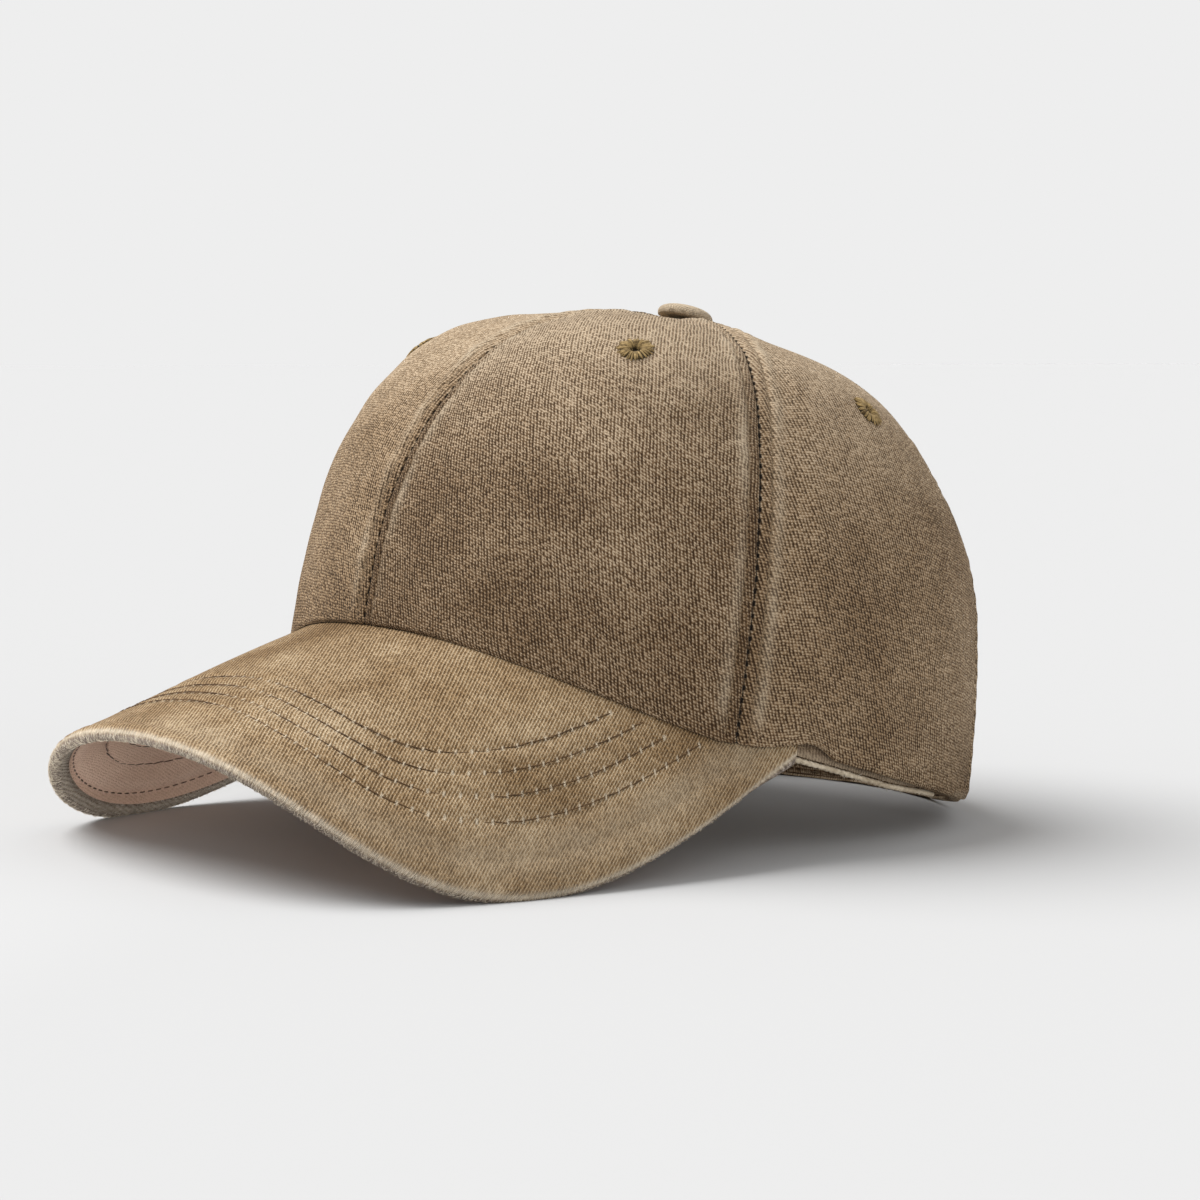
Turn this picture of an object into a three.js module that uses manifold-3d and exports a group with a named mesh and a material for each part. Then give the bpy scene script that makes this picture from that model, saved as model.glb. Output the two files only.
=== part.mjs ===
// Ponytail baseball cap: six cloth panels, a curved peak and a tall opening in the back.
// Millimetres. While it is shaped, the rim lies near z = 0, the peak points along -Y and the wearer's left is
// along +X. At the end the cap is tipped back until it rests on its peak and its closing strap.
import * as THREE from 'three';
import { mergeVertices } from 'three/addons/utils/BufferGeometryUtils.js';
import Module from 'manifold-3d';

// Crown
const rimHalfLength = 93.8;
const rimHalfWidth = 91.2;
const rimSquareness = 2.1;
const crownHeight = 102.8;
const buttonAhead = 12.8;
const backRimRise = 4.3;
const clothWall = 1.6;
const sideSeamAzimuth = 68;
const backSeamAzimuth = 124;
const sidePanelEndAzimuth = 150;
// Power of the dome's curve at each azimuth: 2 is an ellipse, and more is a fuller shoulder
const domeFullness = [
  { azimuth: 0, power: 2.35 },
  { azimuth: 45, power: 2.81 },
  { azimuth: 90, power: 3.0 },
  { azimuth: 135, power: 2.7 },
  { azimuth: 180, power: 2.04 },
];

// Low cone that lifts the crown to the button, out to a share of the rim's radius
const apexRise = 2.6;
const apexSpread = 0.6;
const apexRound = 1.3;

// Valley that each seam lies in, and the turn of the back seam, at shares of the way up from the rim
const seamValley = 2.2;
const valleyRound = 0.7;
const valleyStart = 0.18;
const valleyFull = 0.45;
const valleyFade = 0.7;
const valleyEnd = 0.97;
const seamTurnLow = 0.36;
const seamTurnHigh = 0.5;

// Hollow below the button in the front and side panels, at shares of the way up
const slumpFront = 2.9;
const slumpSide = 2.4;
const slumpRound = 1.3;
const slumpStart = 0.6;
const slumpFull = 0.85;
const slumpFade = 0.92;

// Peak
const peakReach = 58.4;
const peakPitch = 34.6;
const peakCornerAzimuth = 78.2;
const peakSideReach = 86.4;
const peakSideFlare = 11.6;
const peakFrontFlat = 81.4;
const peakArchSpan = 76.8;
const peakArchRound = 24.4;
const peakArchEdge = 13.9;
const peakTopWall = 2.0;
const peakUnderWall = 1.1;
const peakSquareFrom = 9;
const peakLapAzimuth = 8;
const peakRollWidth = 3.4;
const peakRollDepth = 3.8;
const peakTuck = 1.0;
const peakUnderEnd = 0.93;
// Section of the rolled edge, in shares of its width from the edge and of its depth from the upper face
const rollSection = [
  { inward: 0.3, down: 0.06 },
  { inward: 0.06, down: 0.25 },
  { inward: 0, down: 0.5 },
  { inward: 0.06, down: 0.78 },
  { inward: 0.4, down: 1 },
  { inward: 1, down: 0.9 },
];
const rollWidestShare = 0.6;

// Ponytail opening: an arch, squarer than an ellipse by its power
const openingHalfWidth = 72;
const openingHeight = 86;
const openingPower = 3.2;
const openingCorner = 5.5;

// Inside band, its edging and the closing strap
const bandHeight = 28;
const bandWall = 1.2;
const bandEndAzimuth = 112;
const bandDropFront = 2.6;
const bandDropSide = 0.8;
const bandLiftEnd = 0.6;
const bandFrontTurn = 12;
const bandEndTurn = 16;
const pipingRadius = 0.7;
const strapHeight = 24;
const strapWall = 1.8;
const strapLift = 1.0;
const strapStartAzimuth = 113.5;

// Eyelets and button
const eyeletRadius = 4.5;
const eyeletHoleRadius = 0.9;
const eyeletDepth = 2.3;
const eyeletProud = 0.35;
const eyeletRoundShare = 0.3;
const eyeletSideAzimuth = 96;
const eyeletFrontAzimuth = 41;
const eyeletBackAzimuth = 153;
const eyeletDistance = 74;
const eyeletBackDistance = 56;
const buttonRadius = 7.6;
const buttonHeight = 3.8;
const buttonShankRadius = 1.9;
const buttonUnderShare = 0.88;
const buttonEdgeShare = 0.25;
const buttonRound = 0.85;

// Clearances, and how far the cloth gives where it rests
const seamGap = 0.3;
const pieceGap = 0.3;
const bandGap = 0.5;
const restFlat = 0.6;

// Facets
const facetAzimuth = 7.6;
const closestAzimuths = 1.8;
const profileSteps = 160;
const panelRows = 15;
const peakColumnSteps = 40;
const peakColumnCrowding = 0.85;
const peakRows = 6;
const bandRows = 3;
const pipingSides = 6;
const pipingSteps = 84;
const archSteps = 20;
const cornerSteps = 5;
const eyeletSides = 14;
const buttonSides = 24;
const buttonRows = 6;

const radians = THREE.MathUtils.degToRad;
const smooth = THREE.MathUtils.smoothstep;
const up = new THREE.Vector3(0, 0, 1);
const wasm = await Module();
wasm.setup();

const colours = {
  twill: 0x8a755a,
  peakTwill: 0x94805f,
  underside: 0xb79c8c,
  band: 0x6d573f,
  piping: 0xbfae92,
  thread: 0x8d7a4a,
};

function cloth(colour, roughness = 0.95) {
  return new THREE.MeshStandardMaterial({ color: colour, roughness, metalness: 0 });
}

// Height of the peak's upper surface, and of the front of the rim that sits on it
function peakLevel(x, y) {
  const side = Math.abs(x) / peakArchSpan;
  const fall = peakArchRound * side ** 2 + peakArchEdge * side ** 4;
  return (y + rimHalfLength) * Math.tan(radians(peakPitch)) - fall;
}

function peakNormal(x, y) {
  const step = peakTopWall / 4;
  const slopeX = (peakLevel(x + step, y) - peakLevel(x - step, y)) / (2 * step);
  const slopeY = (peakLevel(x, y + step) - peakLevel(x, y - step)) / (2 * step);
  return new THREE.Vector3(-slopeX, -slopeY, 1).normalize();
}

// Level ring round the crown: azimuth 0 is the front and 90 the wearer's left, in radians
function ringPoint(azimuth, inset = 0) {
  const power = 2 / rimSquareness;
  const cos = Math.cos(azimuth);
  const sin = Math.sin(azimuth);
  return new THREE.Vector2(
    (rimHalfWidth - inset) * Math.sign(sin) * Math.abs(sin) ** power,
    -(rimHalfLength - inset) * Math.sign(cos) * Math.abs(cos) ** power,
  );
}

function rimLevel(azimuth) {
  const corner = radians(peakCornerAzimuth);
  const turned = Math.abs(azimuth);
  const ring = ringPoint(Math.min(turned, corner));
  const behind = Math.max(0, (turned - corner) / (Math.PI - corner));
  return peakLevel(ring.x, ring.y) + backRimRise * behind ** 2;
}

// Cosine series through the rows of domeFullness, which are evenly spaced
function fullnessAt(azimuth) {
  const last = domeFullness.length - 1;
  let power = 0;
  for (let wave = 0; wave <= last; wave += 1) {
    let weight = 0;
    domeFullness.forEach((row, index) => {
      const end = index === 0 || index === last ? 0.5 : 1;
      weight += end * row.power * Math.cos(wave * radians(row.azimuth));
    });
    const waveEnd = wave === 0 || wave === last ? 0.5 : 1;
    power += (2 / last) * waveEnd * weight * Math.cos(wave * azimuth);
  }
  return power;
}

// Line from the rim to the button at one azimuth, with the distance along it at each point
const profiles = new Map();

function profileAt(azimuth) {
  const key = azimuth.toFixed(5);
  if (profiles.has(key)) return profiles.get(key);
  const exponent = 2 / fullnessAt(azimuth);
  const ring = ringPoint(azimuth);
  const start = rimLevel(azimuth);
  const points = [];
  const distances = [0];
  for (let index = 0; index <= profileSteps; index += 1) {
    const angle = (Math.PI / 2) * smooth(index, 0, profileSteps);
    const spread = Math.max(0, Math.cos(angle)) ** exponent;
    const rise = Math.sin(angle) ** exponent;
    points.push(new THREE.Vector3(
      ring.x * spread,
      ring.y * spread - buttonAhead * rise,
      start + (crownHeight - start) * rise + apexRise * Math.max(0, 1 - spread / apexSpread) ** apexRound,
    ));
    if (index > 0) distances.push(distances[index - 1] + points[index].distanceTo(points[index - 1]));
  }
  const profile = { points, distances, length: distances[profileSteps] };
  profiles.set(key, profile);
  return profile;
}

function profilePoint(azimuth, distance) {
  const { points, distances, length } = profileAt(azimuth);
  const along = THREE.MathUtils.clamp(distance, 0, length);
  let index = 1;
  while (index < distances.length - 1 && distances[index] < along) index += 1;
  const share = (along - distances[index - 1]) / (distances[index] - distances[index - 1]);
  return points[index - 1].clone().lerp(points[index], share);
}

function crownNormal(azimuth, distance) {
  const { length } = profileAt(azimuth);
  const step = length / profileSteps;
  const turn = step / rimHalfLength;
  const beside = (shift) => {
    const turned = azimuth + shift;
    return profilePoint(turned, (distance / length) * profileAt(turned).length);
  };
  const far = Math.min(distance + step, length);
  const along = profilePoint(azimuth, far).sub(profilePoint(azimuth, Math.max(0, far - 2 * step)));
  return beside(turn).sub(beside(-turn)).cross(along).normalize();
}

// The back seam runs down from the button and turns back into the ponytail opening, so that the side panel
// has the opening's upright edge to itself. Share is the share of the way up from the rim.
function backSeam(share) {
  const turnedBack = 1 - smooth(share, seamTurnLow, seamTurnHigh);
  return radians(backSeamAzimuth + (sidePanelEndAzimuth - backSeamAzimuth) * turnedBack);
}

function seamsAt(share) {
  return [0, radians(sideSeamAzimuth), backSeam(share), Math.PI];
}

// Depth of the shallow valley along each seam, and of the hollow below the button
function seamRecess(azimuth, distance) {
  const turned = Math.abs(Math.atan2(Math.sin(azimuth), Math.cos(azimuth)));
  const share = distance / profileAt(azimuth).length;
  const seams = seamsAt(share);
  const next = Math.max(1, seams.findIndex((seam) => seam >= turned - 1e-9));
  const across = (turned - seams[next - 1]) / (seams[next] - seams[next - 1]);
  const between = Math.max(0, Math.sin(Math.PI * across));
  const valley = smooth(share, valleyStart, valleyFull) * (1 - smooth(share, valleyFade, valleyEnd));
  const slump = smooth(share, slumpStart, slumpFull) * (1 - smooth(share, slumpFade, 1));
  const hollow = [0, slumpFront, slumpSide, 0][next];
  return seamValley * valley * (1 - between ** valleyRound) + hollow * slump * between ** slumpRound;
}

// Point at a distance up from the rim and a depth below the crown's outer face
function crownPoint(azimuth, distance, depth) {
  const low = Math.max(0, distance);
  const inward = depth + seamRecess(azimuth, low);
  const point = profilePoint(azimuth, low).addScaledVector(crownNormal(azimuth, low), -inward);
  point.z += Math.min(0, distance);
  return point;
}

// A panel's lower edge lies on the peak across its whole thickness
function panelPoint(azimuth, distance, depth) {
  const point = crownPoint(azimuth, distance, depth);
  const corner = radians(peakCornerAzimuth);
  const near = 1 - smooth(Math.abs(azimuth), corner, corner + radians(peakLapAzimuth));
  const low = 1 - smooth(distance, 0, bandHeight / 3);
  const ahead = Math.max(0, peakLevel(point.x, point.y) - rimLevel(azimuth));
  point.z += near * low * ahead;
  return point;
}

// Closed solid through a row of matching closed outlines, capped at both ends by the triangles in capFaces
function loft(columns, capFaces) {
  const count = columns[0].length;
  const positions = columns.flat().flatMap((point) => point.toArray());
  const faces = [];
  for (let column = 0; column < columns.length - 1; column += 1) {
    for (let side = 0; side < count; side += 1) {
      const here = column * count + side;
      const beside = column * count + ((side + 1) % count);
      faces.push(here, beside, beside + count);
      faces.push(here, beside + count, here + count);
    }
  }
  const last = (columns.length - 1) * count;
  for (const [a, b, c] of capFaces) {
    faces.push(c, b, a);
    faces.push(last + a, last + b, last + c);
  }
  return outward(positions, faces);
}

// Flips the faces where the outlines ran the other way round
function outward(positions, faces) {
  const corner = (index) => new THREE.Vector3().fromArray(positions, 3 * index);
  let volume = 0;
  for (let index = 0; index < faces.length; index += 3) {
    const [a, b, c] = [corner(faces[index]), corner(faces[index + 1]), corner(faces[index + 2])];
    volume += a.dot(b.cross(c));
  }
  const ordered = volume < 0 ? faces.slice().reverse() : faces;
  const geometry = new THREE.BufferGeometry();
  geometry.setAttribute('position', new THREE.Float32BufferAttribute(positions, 3));
  geometry.setIndex(ordered);
  return geometry;
}

// Outline of a thin wall: out along its outer face and back along its inner face
function wallOutline(rows, place) {
  const outer = rows.map((row) => place(row, 0));
  const inner = rows.map((row) => place(row, 1)).reverse();
  return [...outer, ...inner];
}

// Cap of a wall with this many steps from one edge to the other, in a strip from edge to edge
function wallCap(steps) {
  const last = 2 * steps + 1;
  return spaced(0, steps - 1, steps - 1).flatMap((index) => [
    [index, index + 1, last - index - 1],
    [index, last - index - 1, last - index],
  ]);
}

// Cap of any other outline, with its triangles turned the way that the outline runs
function outlineCap(outline) {
  return THREE.ShapeUtils.triangulateShape(outline, []).map((triangle) => {
    const area = THREE.ShapeUtils.area(triangle.map((index) => outline[index]));
    return area * THREE.ShapeUtils.area(outline) > 0 ? triangle : triangle.slice().reverse();
  });
}

function spaced(from, to, steps) {
  return Array.from({ length: steps + 1 }, (unused, index) => from + ((to - from) * index) / steps);
}

// Azimuths of each panel's facets, which the band and the strap share. One falls on the peak's corner.
function panelAzimuths(from, to) {
  const stops = [from, to];
  if (peakCornerAzimuth > from && peakCornerAzimuth < to) stops.splice(1, 0, peakCornerAzimuth);
  return stops.slice(1).flatMap((stop, index) => {
    const steps = Math.ceil((stop - stops[index]) / facetAzimuth);
    return spaced(stops[index], stop, steps).slice(index === 0 ? 0 : 1);
  });
}

const panelGrids = {
  front: panelAzimuths(0, sideSeamAzimuth),
  side: panelAzimuths(sideSeamAzimuth, sidePanelEndAzimuth),
  back: panelAzimuths(sidePanelEndAzimuth, 180),
};
const panelOrder = Object.keys(panelGrids);

function gridAzimuths(from, to) {
  const half = Object.values(panelGrids).flat();
  const round = [...half, ...half.map((azimuth) => -azimuth), ...half.map((azimuth) => 360 - azimuth)];
  const between = round.filter((azimuth) => (
    azimuth > from + closestAzimuths && azimuth < to - closestAzimuths));
  const unique = [...new Set(between.map((azimuth) => azimuth.toFixed(4)))].map(Number);
  return [from, ...unique.sort((a, b) => a - b), to].map(radians);
}

// Manifold solids in and out
function toSolid(geometry) {
  const bare = geometry.clone();
  bare.deleteAttribute('normal');
  bare.deleteAttribute('uv');
  const merged = mergeVertices(bare, 1e-4);
  return new wasm.Manifold(new wasm.Mesh({
    numProp: 3,
    vertProperties: Float32Array.from(merged.attributes.position.array),
    triVerts: Uint32Array.from(merged.index.array),
  }));
}

function cut(geometry, ...tools) {
  let solid = toSolid(geometry);
  for (const tool of tools) solid = solid.subtract(toSolid(tool));
  const mesh = solid.getMesh();
  const result = new THREE.BufferGeometry();
  result.setAttribute('position', new THREE.Float32BufferAttribute(mesh.vertProperties, 3));
  result.setIndex(Array.from(mesh.triVerts));
  return result;
}

// Crown panels
function panel(name, side) {
  const grid = panelGrids[name];
  const seam = panelOrder.indexOf(name);
  const columns = grid.map((low) => wallOutline(spaced(0, 1, panelRows), (row, face) => {
    const across = (low - grid[0]) / (grid[grid.length - 1] - grid[0]);
    const [from, to] = seamsAt(row).slice(seam, seam + 2);
    const middle = side * (from + (to - from) * across);
    const reach = (turned) => row * (profileAt(turned).length - buttonShankRadius - pieceGap);
    const plan = profilePoint(middle, reach(middle));
    const inset = seamGap / 2 / Math.hypot(plan.x, plan.y + buttonAhead);
    const azimuth = middle + side * inset * (1 - 2 * across);
    const point = panelPoint(azimuth, reach(azimuth), face * clothWall);
    if (row === 0) point.z += pieceGap;
    return point;
  }));
  return loft(columns, wallCap(panelRows));
}

// Ring frame of a place on the crown: its outward direction becomes +Z of the piece
function onCrown(geometry, azimuth, distance) {
  const normal = crownNormal(azimuth, distance);
  const place = crownPoint(azimuth, distance, 0);
  const turn = new THREE.Quaternion().setFromUnitVectors(up, normal);
  return geometry.applyQuaternion(turn).translate(place.x, place.y, place.z);
}

function eyeletRing(azimuth, distance) {
  const middle = (eyeletRadius + eyeletHoleRadius) / 2;
  const top = eyeletProud;
  const bottom = eyeletProud - eyeletDepth;
  const round = eyeletRoundShare * eyeletDepth;
  const profile = [
    [eyeletHoleRadius, top - round],
    [eyeletHoleRadius, bottom + round],
    [middle, bottom],
    [eyeletRadius, bottom + round],
    [eyeletRadius, top - round],
    [middle, top],
    [eyeletHoleRadius, top - round],
  ].map(([radius, height]) => new THREE.Vector2(radius, height));
  const ring = new THREE.LatheGeometry(profile, eyeletSides).rotateX(Math.PI / 2);
  return onCrown(ring, azimuth, distance);
}

function eyeletHole(azimuth, distance) {
  const radius = eyeletRadius + pieceGap;
  const hole = new THREE.CylinderGeometry(radius, radius, 6 * clothWall, eyeletSides).rotateX(Math.PI / 2);
  return onCrown(hole, azimuth, distance);
}

// Arch through the back, with the side panels' lower corners rounded off
function openingPrism() {
  const floor = -rimHalfLength;
  const rim = rimLevel(Math.PI - Math.asin(openingHalfWidth / rimHalfWidth));
  const spread = openingHalfWidth + openingCorner;
  const shoulder = rim + openingCorner;
  const shape = new THREE.Shape();
  shape.moveTo(-spread, floor);
  shape.lineTo(-spread, rim);
  shape.absarc(-spread, shoulder, openingCorner, -Math.PI / 2, 0, false);
  for (const angle of spaced(Math.PI, 0, archSteps)) {
    const width = Math.sign(Math.cos(angle)) * Math.abs(Math.cos(angle)) ** (2 / openingPower);
    const height = Math.sin(angle) ** (2 / openingPower);
    shape.lineTo(openingHalfWidth * width, shoulder + (openingHeight - openingCorner) * height);
  }
  shape.absarc(spread, shoulder, openingCorner, Math.PI, 1.5 * Math.PI, false);
  shape.lineTo(spread, floor);
  shape.closePath();
  const depth = 2 * rimHalfLength;
  const prism = new THREE.ExtrudeGeometry(shape, { depth, bevelEnabled: false, curveSegments: cornerSteps });
  return prism.rotateX(Math.PI / 2).translate(0, depth, 0);
}

// Peak: the top cloth rolls down round the edge of the underside
function peakPlan(along, across) {
  const corner = radians(peakCornerAzimuth);
  const inner = ringPoint(along * corner, peakTuck);
  const root = ringPoint(corner);
  const half = new THREE.CubicBezierCurve(
    root,
    new THREE.Vector2(root.x + peakSideFlare, root.y - peakSideReach),
    new THREE.Vector2(peakFrontFlat, -rimHalfLength - peakReach),
    new THREE.Vector2(0, -rimHalfLength - peakReach),
  );
  const outer = half.getPoint(1 - Math.abs(along));
  outer.x *= along < 0 ? -1 : 1;
  return { inner, outer, width: inner.distanceTo(outer), at: inner.clone().lerp(outer, across) };
}

// A point below the peak's upper face: straight down by the crown, square to the face further out
function peakPoint(along, across, depth) {
  const plan = peakPlan(along, across);
  const away = smooth(across * plan.width, 0, peakSquareFrom);
  const down = peakNormal(plan.at.x, plan.at.y).lerp(up, 1 - away);
  const surface = new THREE.Vector3(plan.at.x, plan.at.y, peakLevel(plan.at.x, plan.at.y));
  return surface.addScaledVector(down, -depth);
}

const peakColumns = spaced(-1, 1, peakColumnSteps).map((share) => (
  Math.sign(share) * Math.abs(share) ** peakColumnCrowding));

function rollShare(along) {
  const { width } = peakPlan(along, 1);
  return Math.min(peakRollWidth, rollWidestShare * width) / width;
}

function peakTop() {
  const outline = (roll) => [
    ...spaced(0, 1 - roll, peakRows).map((across) => [across, 0]),
    ...rollSection.map(({ inward, down }) => [1 - inward * roll, down * peakRollDepth]),
    ...spaced(1 - roll, 0, peakRows).map((across) => [across, peakTopWall]),
  ];
  const columns = peakColumns.map((along) => outline(rollShare(along))
    .map(([across, depth]) => peakPoint(along, across, depth)));
  const flat = outline(rollWidestShare).map(([across, depth]) => new THREE.Vector2(across, depth));
  return loft(columns, outlineCap(flat));
}

function peakUnderside() {
  const upper = peakTopWall + pieceGap;
  const columns = peakColumns.map((share) => {
    const along = share * peakUnderEnd;
    const { width } = peakPlan(along, 1);
    const edge = 1 - rollShare(along) - pieceGap / width;
    return wallOutline(spaced(0, edge, peakRows), (across, face) => (
      peakPoint(along, across, upper + face * peakUnderWall)));
  });
  return loft(columns, wallCap(peakRows));
}

// How far the inside band reaches below the rim: over the peak's edge in front, tucked up at its ends
function bandDrop(azimuth) {
  const turned = THREE.MathUtils.radToDeg(Math.abs(azimuth));
  const front = 1 - smooth(turned, peakCornerAzimuth - bandFrontTurn, peakCornerAzimuth);
  const end = smooth(turned, bandEndAzimuth - bandEndTurn, bandEndAzimuth);
  return bandDropSide + (bandDropFront - bandDropSide) * front - (bandDropSide + bandLiftEnd) * end;
}

function sweatband() {
  const outer = clothWall + bandGap;
  const columns = gridAzimuths(-bandEndAzimuth, bandEndAzimuth).map((azimuth) => (
    wallOutline(spaced(-bandDrop(azimuth), bandHeight, bandRows), (distance, face) => (
      crownPoint(azimuth, distance, outer + face * bandWall)))));
  return loft(columns, wallCap(bandRows));
}

function rimPiping() {
  const middle = clothWall + bandGap + bandWall / 2;
  const path = new THREE.CatmullRomCurve3(gridAzimuths(-bandEndAzimuth, bandEndAzimuth).map((azimuth) => (
    crownPoint(azimuth, -bandDrop(azimuth) - pieceGap - pipingRadius, middle))));
  const section = new THREE.Shape(spaced(0, 2 * Math.PI, pipingSides).slice(1).map((angle) => (
    new THREE.Vector2(pipingRadius * Math.cos(angle), pipingRadius * Math.sin(angle)))));
  return new THREE.ExtrudeGeometry(section, { steps: pipingSteps, extrudePath: path, bevelEnabled: false });
}

function closingStrap() {
  const outer = clothWall + bandGap;
  const columns = gridAzimuths(strapStartAzimuth, 360 - strapStartAzimuth).map((azimuth) => (
    wallOutline(spaced(strapLift, strapLift + strapHeight, bandRows), (distance, face) => {
      const turned = azimuth > Math.PI ? azimuth - 2 * Math.PI : azimuth;
      return crownPoint(turned, distance, outer + face * strapWall);
    })));
  return loft(columns, wallCap(bandRows));
}

function topButton() {
  const dome = spaced(0, Math.PI / 2, buttonRows).map((angle) => new THREE.Vector2(
    buttonRadius * Math.cos(angle) ** buttonRound,
    pieceGap + buttonHeight * (buttonEdgeShare + (1 - buttonEdgeShare) * Math.sin(angle) ** buttonRound),
  ));
  dome[dome.length - 1].x = 0;
  const profile = [
    new THREE.Vector2(0, -clothWall),
    new THREE.Vector2(buttonShankRadius, -clothWall),
    new THREE.Vector2(buttonShankRadius, pieceGap),
    new THREE.Vector2(buttonUnderShare * buttonRadius, pieceGap),
    ...dome,
  ];
  const button = new THREE.LatheGeometry(profile, buttonSides).rotateX(Math.PI / 2);
  return button.translate(0, -buttonAhead, crownHeight + apexRise);
}

// Every piece, shaped about the rim
const eyelets = [
  { name: 'front', azimuth: eyeletFrontAzimuth },
  { name: 'side', azimuth: eyeletSideAzimuth },
  { name: 'back', azimuth: eyeletBackAzimuth },
];
const pieces = [];

for (const [word, side] of [['left', 1], ['right', -1]]) {
  for (const { name, azimuth } of eyelets) {
    const turned = side * radians(azimuth);
    const distance = profileAt(turned).length - (name === 'back' ? eyeletBackDistance : eyeletDistance);
    const tools = [eyeletHole(turned, distance)];
    if (name !== 'front') tools.push(openingPrism());
    pieces.push([`${name}_panel_${word}`, cut(panel(name, side), ...tools), cloth(colours.twill)]);
    pieces.push([`eyelet_${name}_${word}`, eyeletRing(turned, distance), cloth(colours.thread, 0.7)]);
  }
}
pieces.push(['top_button', topButton(), cloth(colours.twill)]);
pieces.push(['peak_top', peakTop(), cloth(colours.peakTwill)]);
pieces.push(['peak_underside', peakUnderside(), cloth(colours.underside)]);
pieces.push(['sweatband', sweatband(), cloth(colours.band)]);
pieces.push(['rim_piping', rimPiping(), cloth(colours.piping)]);
pieces.push(['closing_strap', closingStrap(), cloth(colours.twill)]);

// Tip the cap until the peak in front and the strap behind are equally low
function cornersOf(geometry) {
  const position = geometry.attributes.position;
  return Array.from({ length: position.count }, (unused, index) => (
    new THREE.Vector3().fromBufferAttribute(position, index)));
}

function lowest(points, tip) {
  return Math.min(...points.map((point) => point.z * Math.cos(tip) - point.y * Math.sin(tip)));
}

function restTip(front, behind) {
  let low = 0;
  let high = Math.PI / 4;
  for (let round = 0; round < 40; round += 1) {
    const middle = (low + high) / 2;
    if (lowest(front, middle) < lowest(behind, middle)) low = middle;
    else high = middle;
  }
  return (low + high) / 2;
}

const allCorners = pieces.flatMap(([, geometry]) => cornersOf(geometry));
const tip = restTip(allCorners.filter(({ y }) => y < 0), allCorners.filter(({ y }) => y > 0));
const tipped = new THREE.Matrix4().makeRotationX(-tip);
const tippedBack = tipped.clone().invert();
const floorLevel = lowest(allCorners, tip) + restFlat;

// Cloth that reaches the surface is pressed flat against it
const floorSize = 8 * rimHalfLength;
const surface = new THREE.BoxGeometry(floorSize, floorSize, floorSize)
  .translate(0, 0, floorLevel - floorSize / 2)
  .applyMatrix4(tippedBack);

const cap = new THREE.Group();
for (const [name, geometry, material] of pieces) {
  const reachesSurface = lowest(cornersOf(geometry), tip) < floorLevel;
  const mesh = new THREE.Mesh(reachesSurface ? cut(geometry, surface) : geometry, material);
  mesh.name = name;
  cap.add(mesh);
}

// Origin below the middle of the whole cap, on the surface that it rests on
cap.rotation.x = -tip;
cap.updateMatrixWorld(true);
const bounds = new THREE.Box3().setFromObject(cap, true);
cap.position.set(
  -(bounds.min.x + bounds.max.x) / 2,
  -(bounds.min.y + bounds.max.y) / 2,
  -bounds.min.z,
);
cap.updateMatrixWorld(true);

export default cap;
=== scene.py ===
import math

import bmesh
import bpy
import numpy as np
from mathutils import Matrix, Vector


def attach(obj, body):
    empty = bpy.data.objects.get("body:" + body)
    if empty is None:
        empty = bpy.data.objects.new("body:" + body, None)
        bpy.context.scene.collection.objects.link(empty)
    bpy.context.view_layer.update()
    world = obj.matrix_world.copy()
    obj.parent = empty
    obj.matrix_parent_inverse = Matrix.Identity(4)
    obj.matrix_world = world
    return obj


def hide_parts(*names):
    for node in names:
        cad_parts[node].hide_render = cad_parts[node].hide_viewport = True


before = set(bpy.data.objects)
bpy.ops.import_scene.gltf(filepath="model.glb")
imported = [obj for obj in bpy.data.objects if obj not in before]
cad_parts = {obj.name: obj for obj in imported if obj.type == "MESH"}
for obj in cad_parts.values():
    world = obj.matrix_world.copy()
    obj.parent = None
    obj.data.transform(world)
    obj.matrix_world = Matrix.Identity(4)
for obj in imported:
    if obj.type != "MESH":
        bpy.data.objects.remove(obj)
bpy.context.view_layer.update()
print("frame loaded")

# The cap's sizes, in millimetres and degrees, about its own rim: the peak points along -Y
capSize = {
    "rimHalfLength": 93.8,
    "rimHalfWidth": 91.2,
    "rimSquareness": 2.1,
    "crownHeight": 102.8,
    "buttonAhead": 12.8,
    "apexRise": 2.6,  # a low cone up to the button, out to a share of the rim's radius
    "apexSpread": 0.6,
    "apexRound": 1.3,
    "backRimRise": 4.3,
    "clothWall": 1.6,
    "seamValley": 2.2,
    "sideSeam": 68,
    "backSeam": 124,
    "backSeamTurned": 150,
    "seamTurn": (0.36, 0.5),  # shares of the way up between which the back seam turns aside
    "fullness": (2.35, 2.81, 3.0, 2.7, 2.04),  # at azimuths 0, 45, 90, 135 and 180
    "slump": {"front": 2.9, "side": 2.4, "back": 0.0},  # hollow below the button
    "tip": 16.87189,  # how far back the cap lies on its peak and strap
    "middle": (0, 34.08779, 29.26671),
}


def smooth(value, low, high):
    share = np.clip((value - low) / (high - low), 0, 1)
    return share * share * (3 - 2 * share)


def unit(vectors):
    return vectors / np.maximum(1e-12, np.linalg.norm(vectors, axis=-1, keepdims=True))


def hump(value, middle, width):
    return np.exp(-(((value - middle) / width) ** 2))


def toFrame(points):
    # from millimetres about the rim to metres in the frame
    tip = math.radians(capSize["tip"])
    x, y, z = np.moveaxis(np.asarray(points, float), -1, 0)
    turned = np.stack([x, y * math.cos(tip) + z * math.sin(tip), z * math.cos(tip) - y * math.sin(tip)], axis=-1)
    return (turned + np.array(capSize["middle"])) / 1000


def turnToFrame(directions):
    return (toFrame(directions) - toFrame(np.zeros(3))) * 1000


# Camera at the photograph's angle
photoView = {
    "azimuth": 50.749,
    "elevation": -5.963,
    "roll": 12.908,
    "distance": 864,
    "aside": (19.72, 17.61),
    "lookAt": (0, 0, 48),
    "lens": 94.533,
    "sensor": 36,
}


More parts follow.
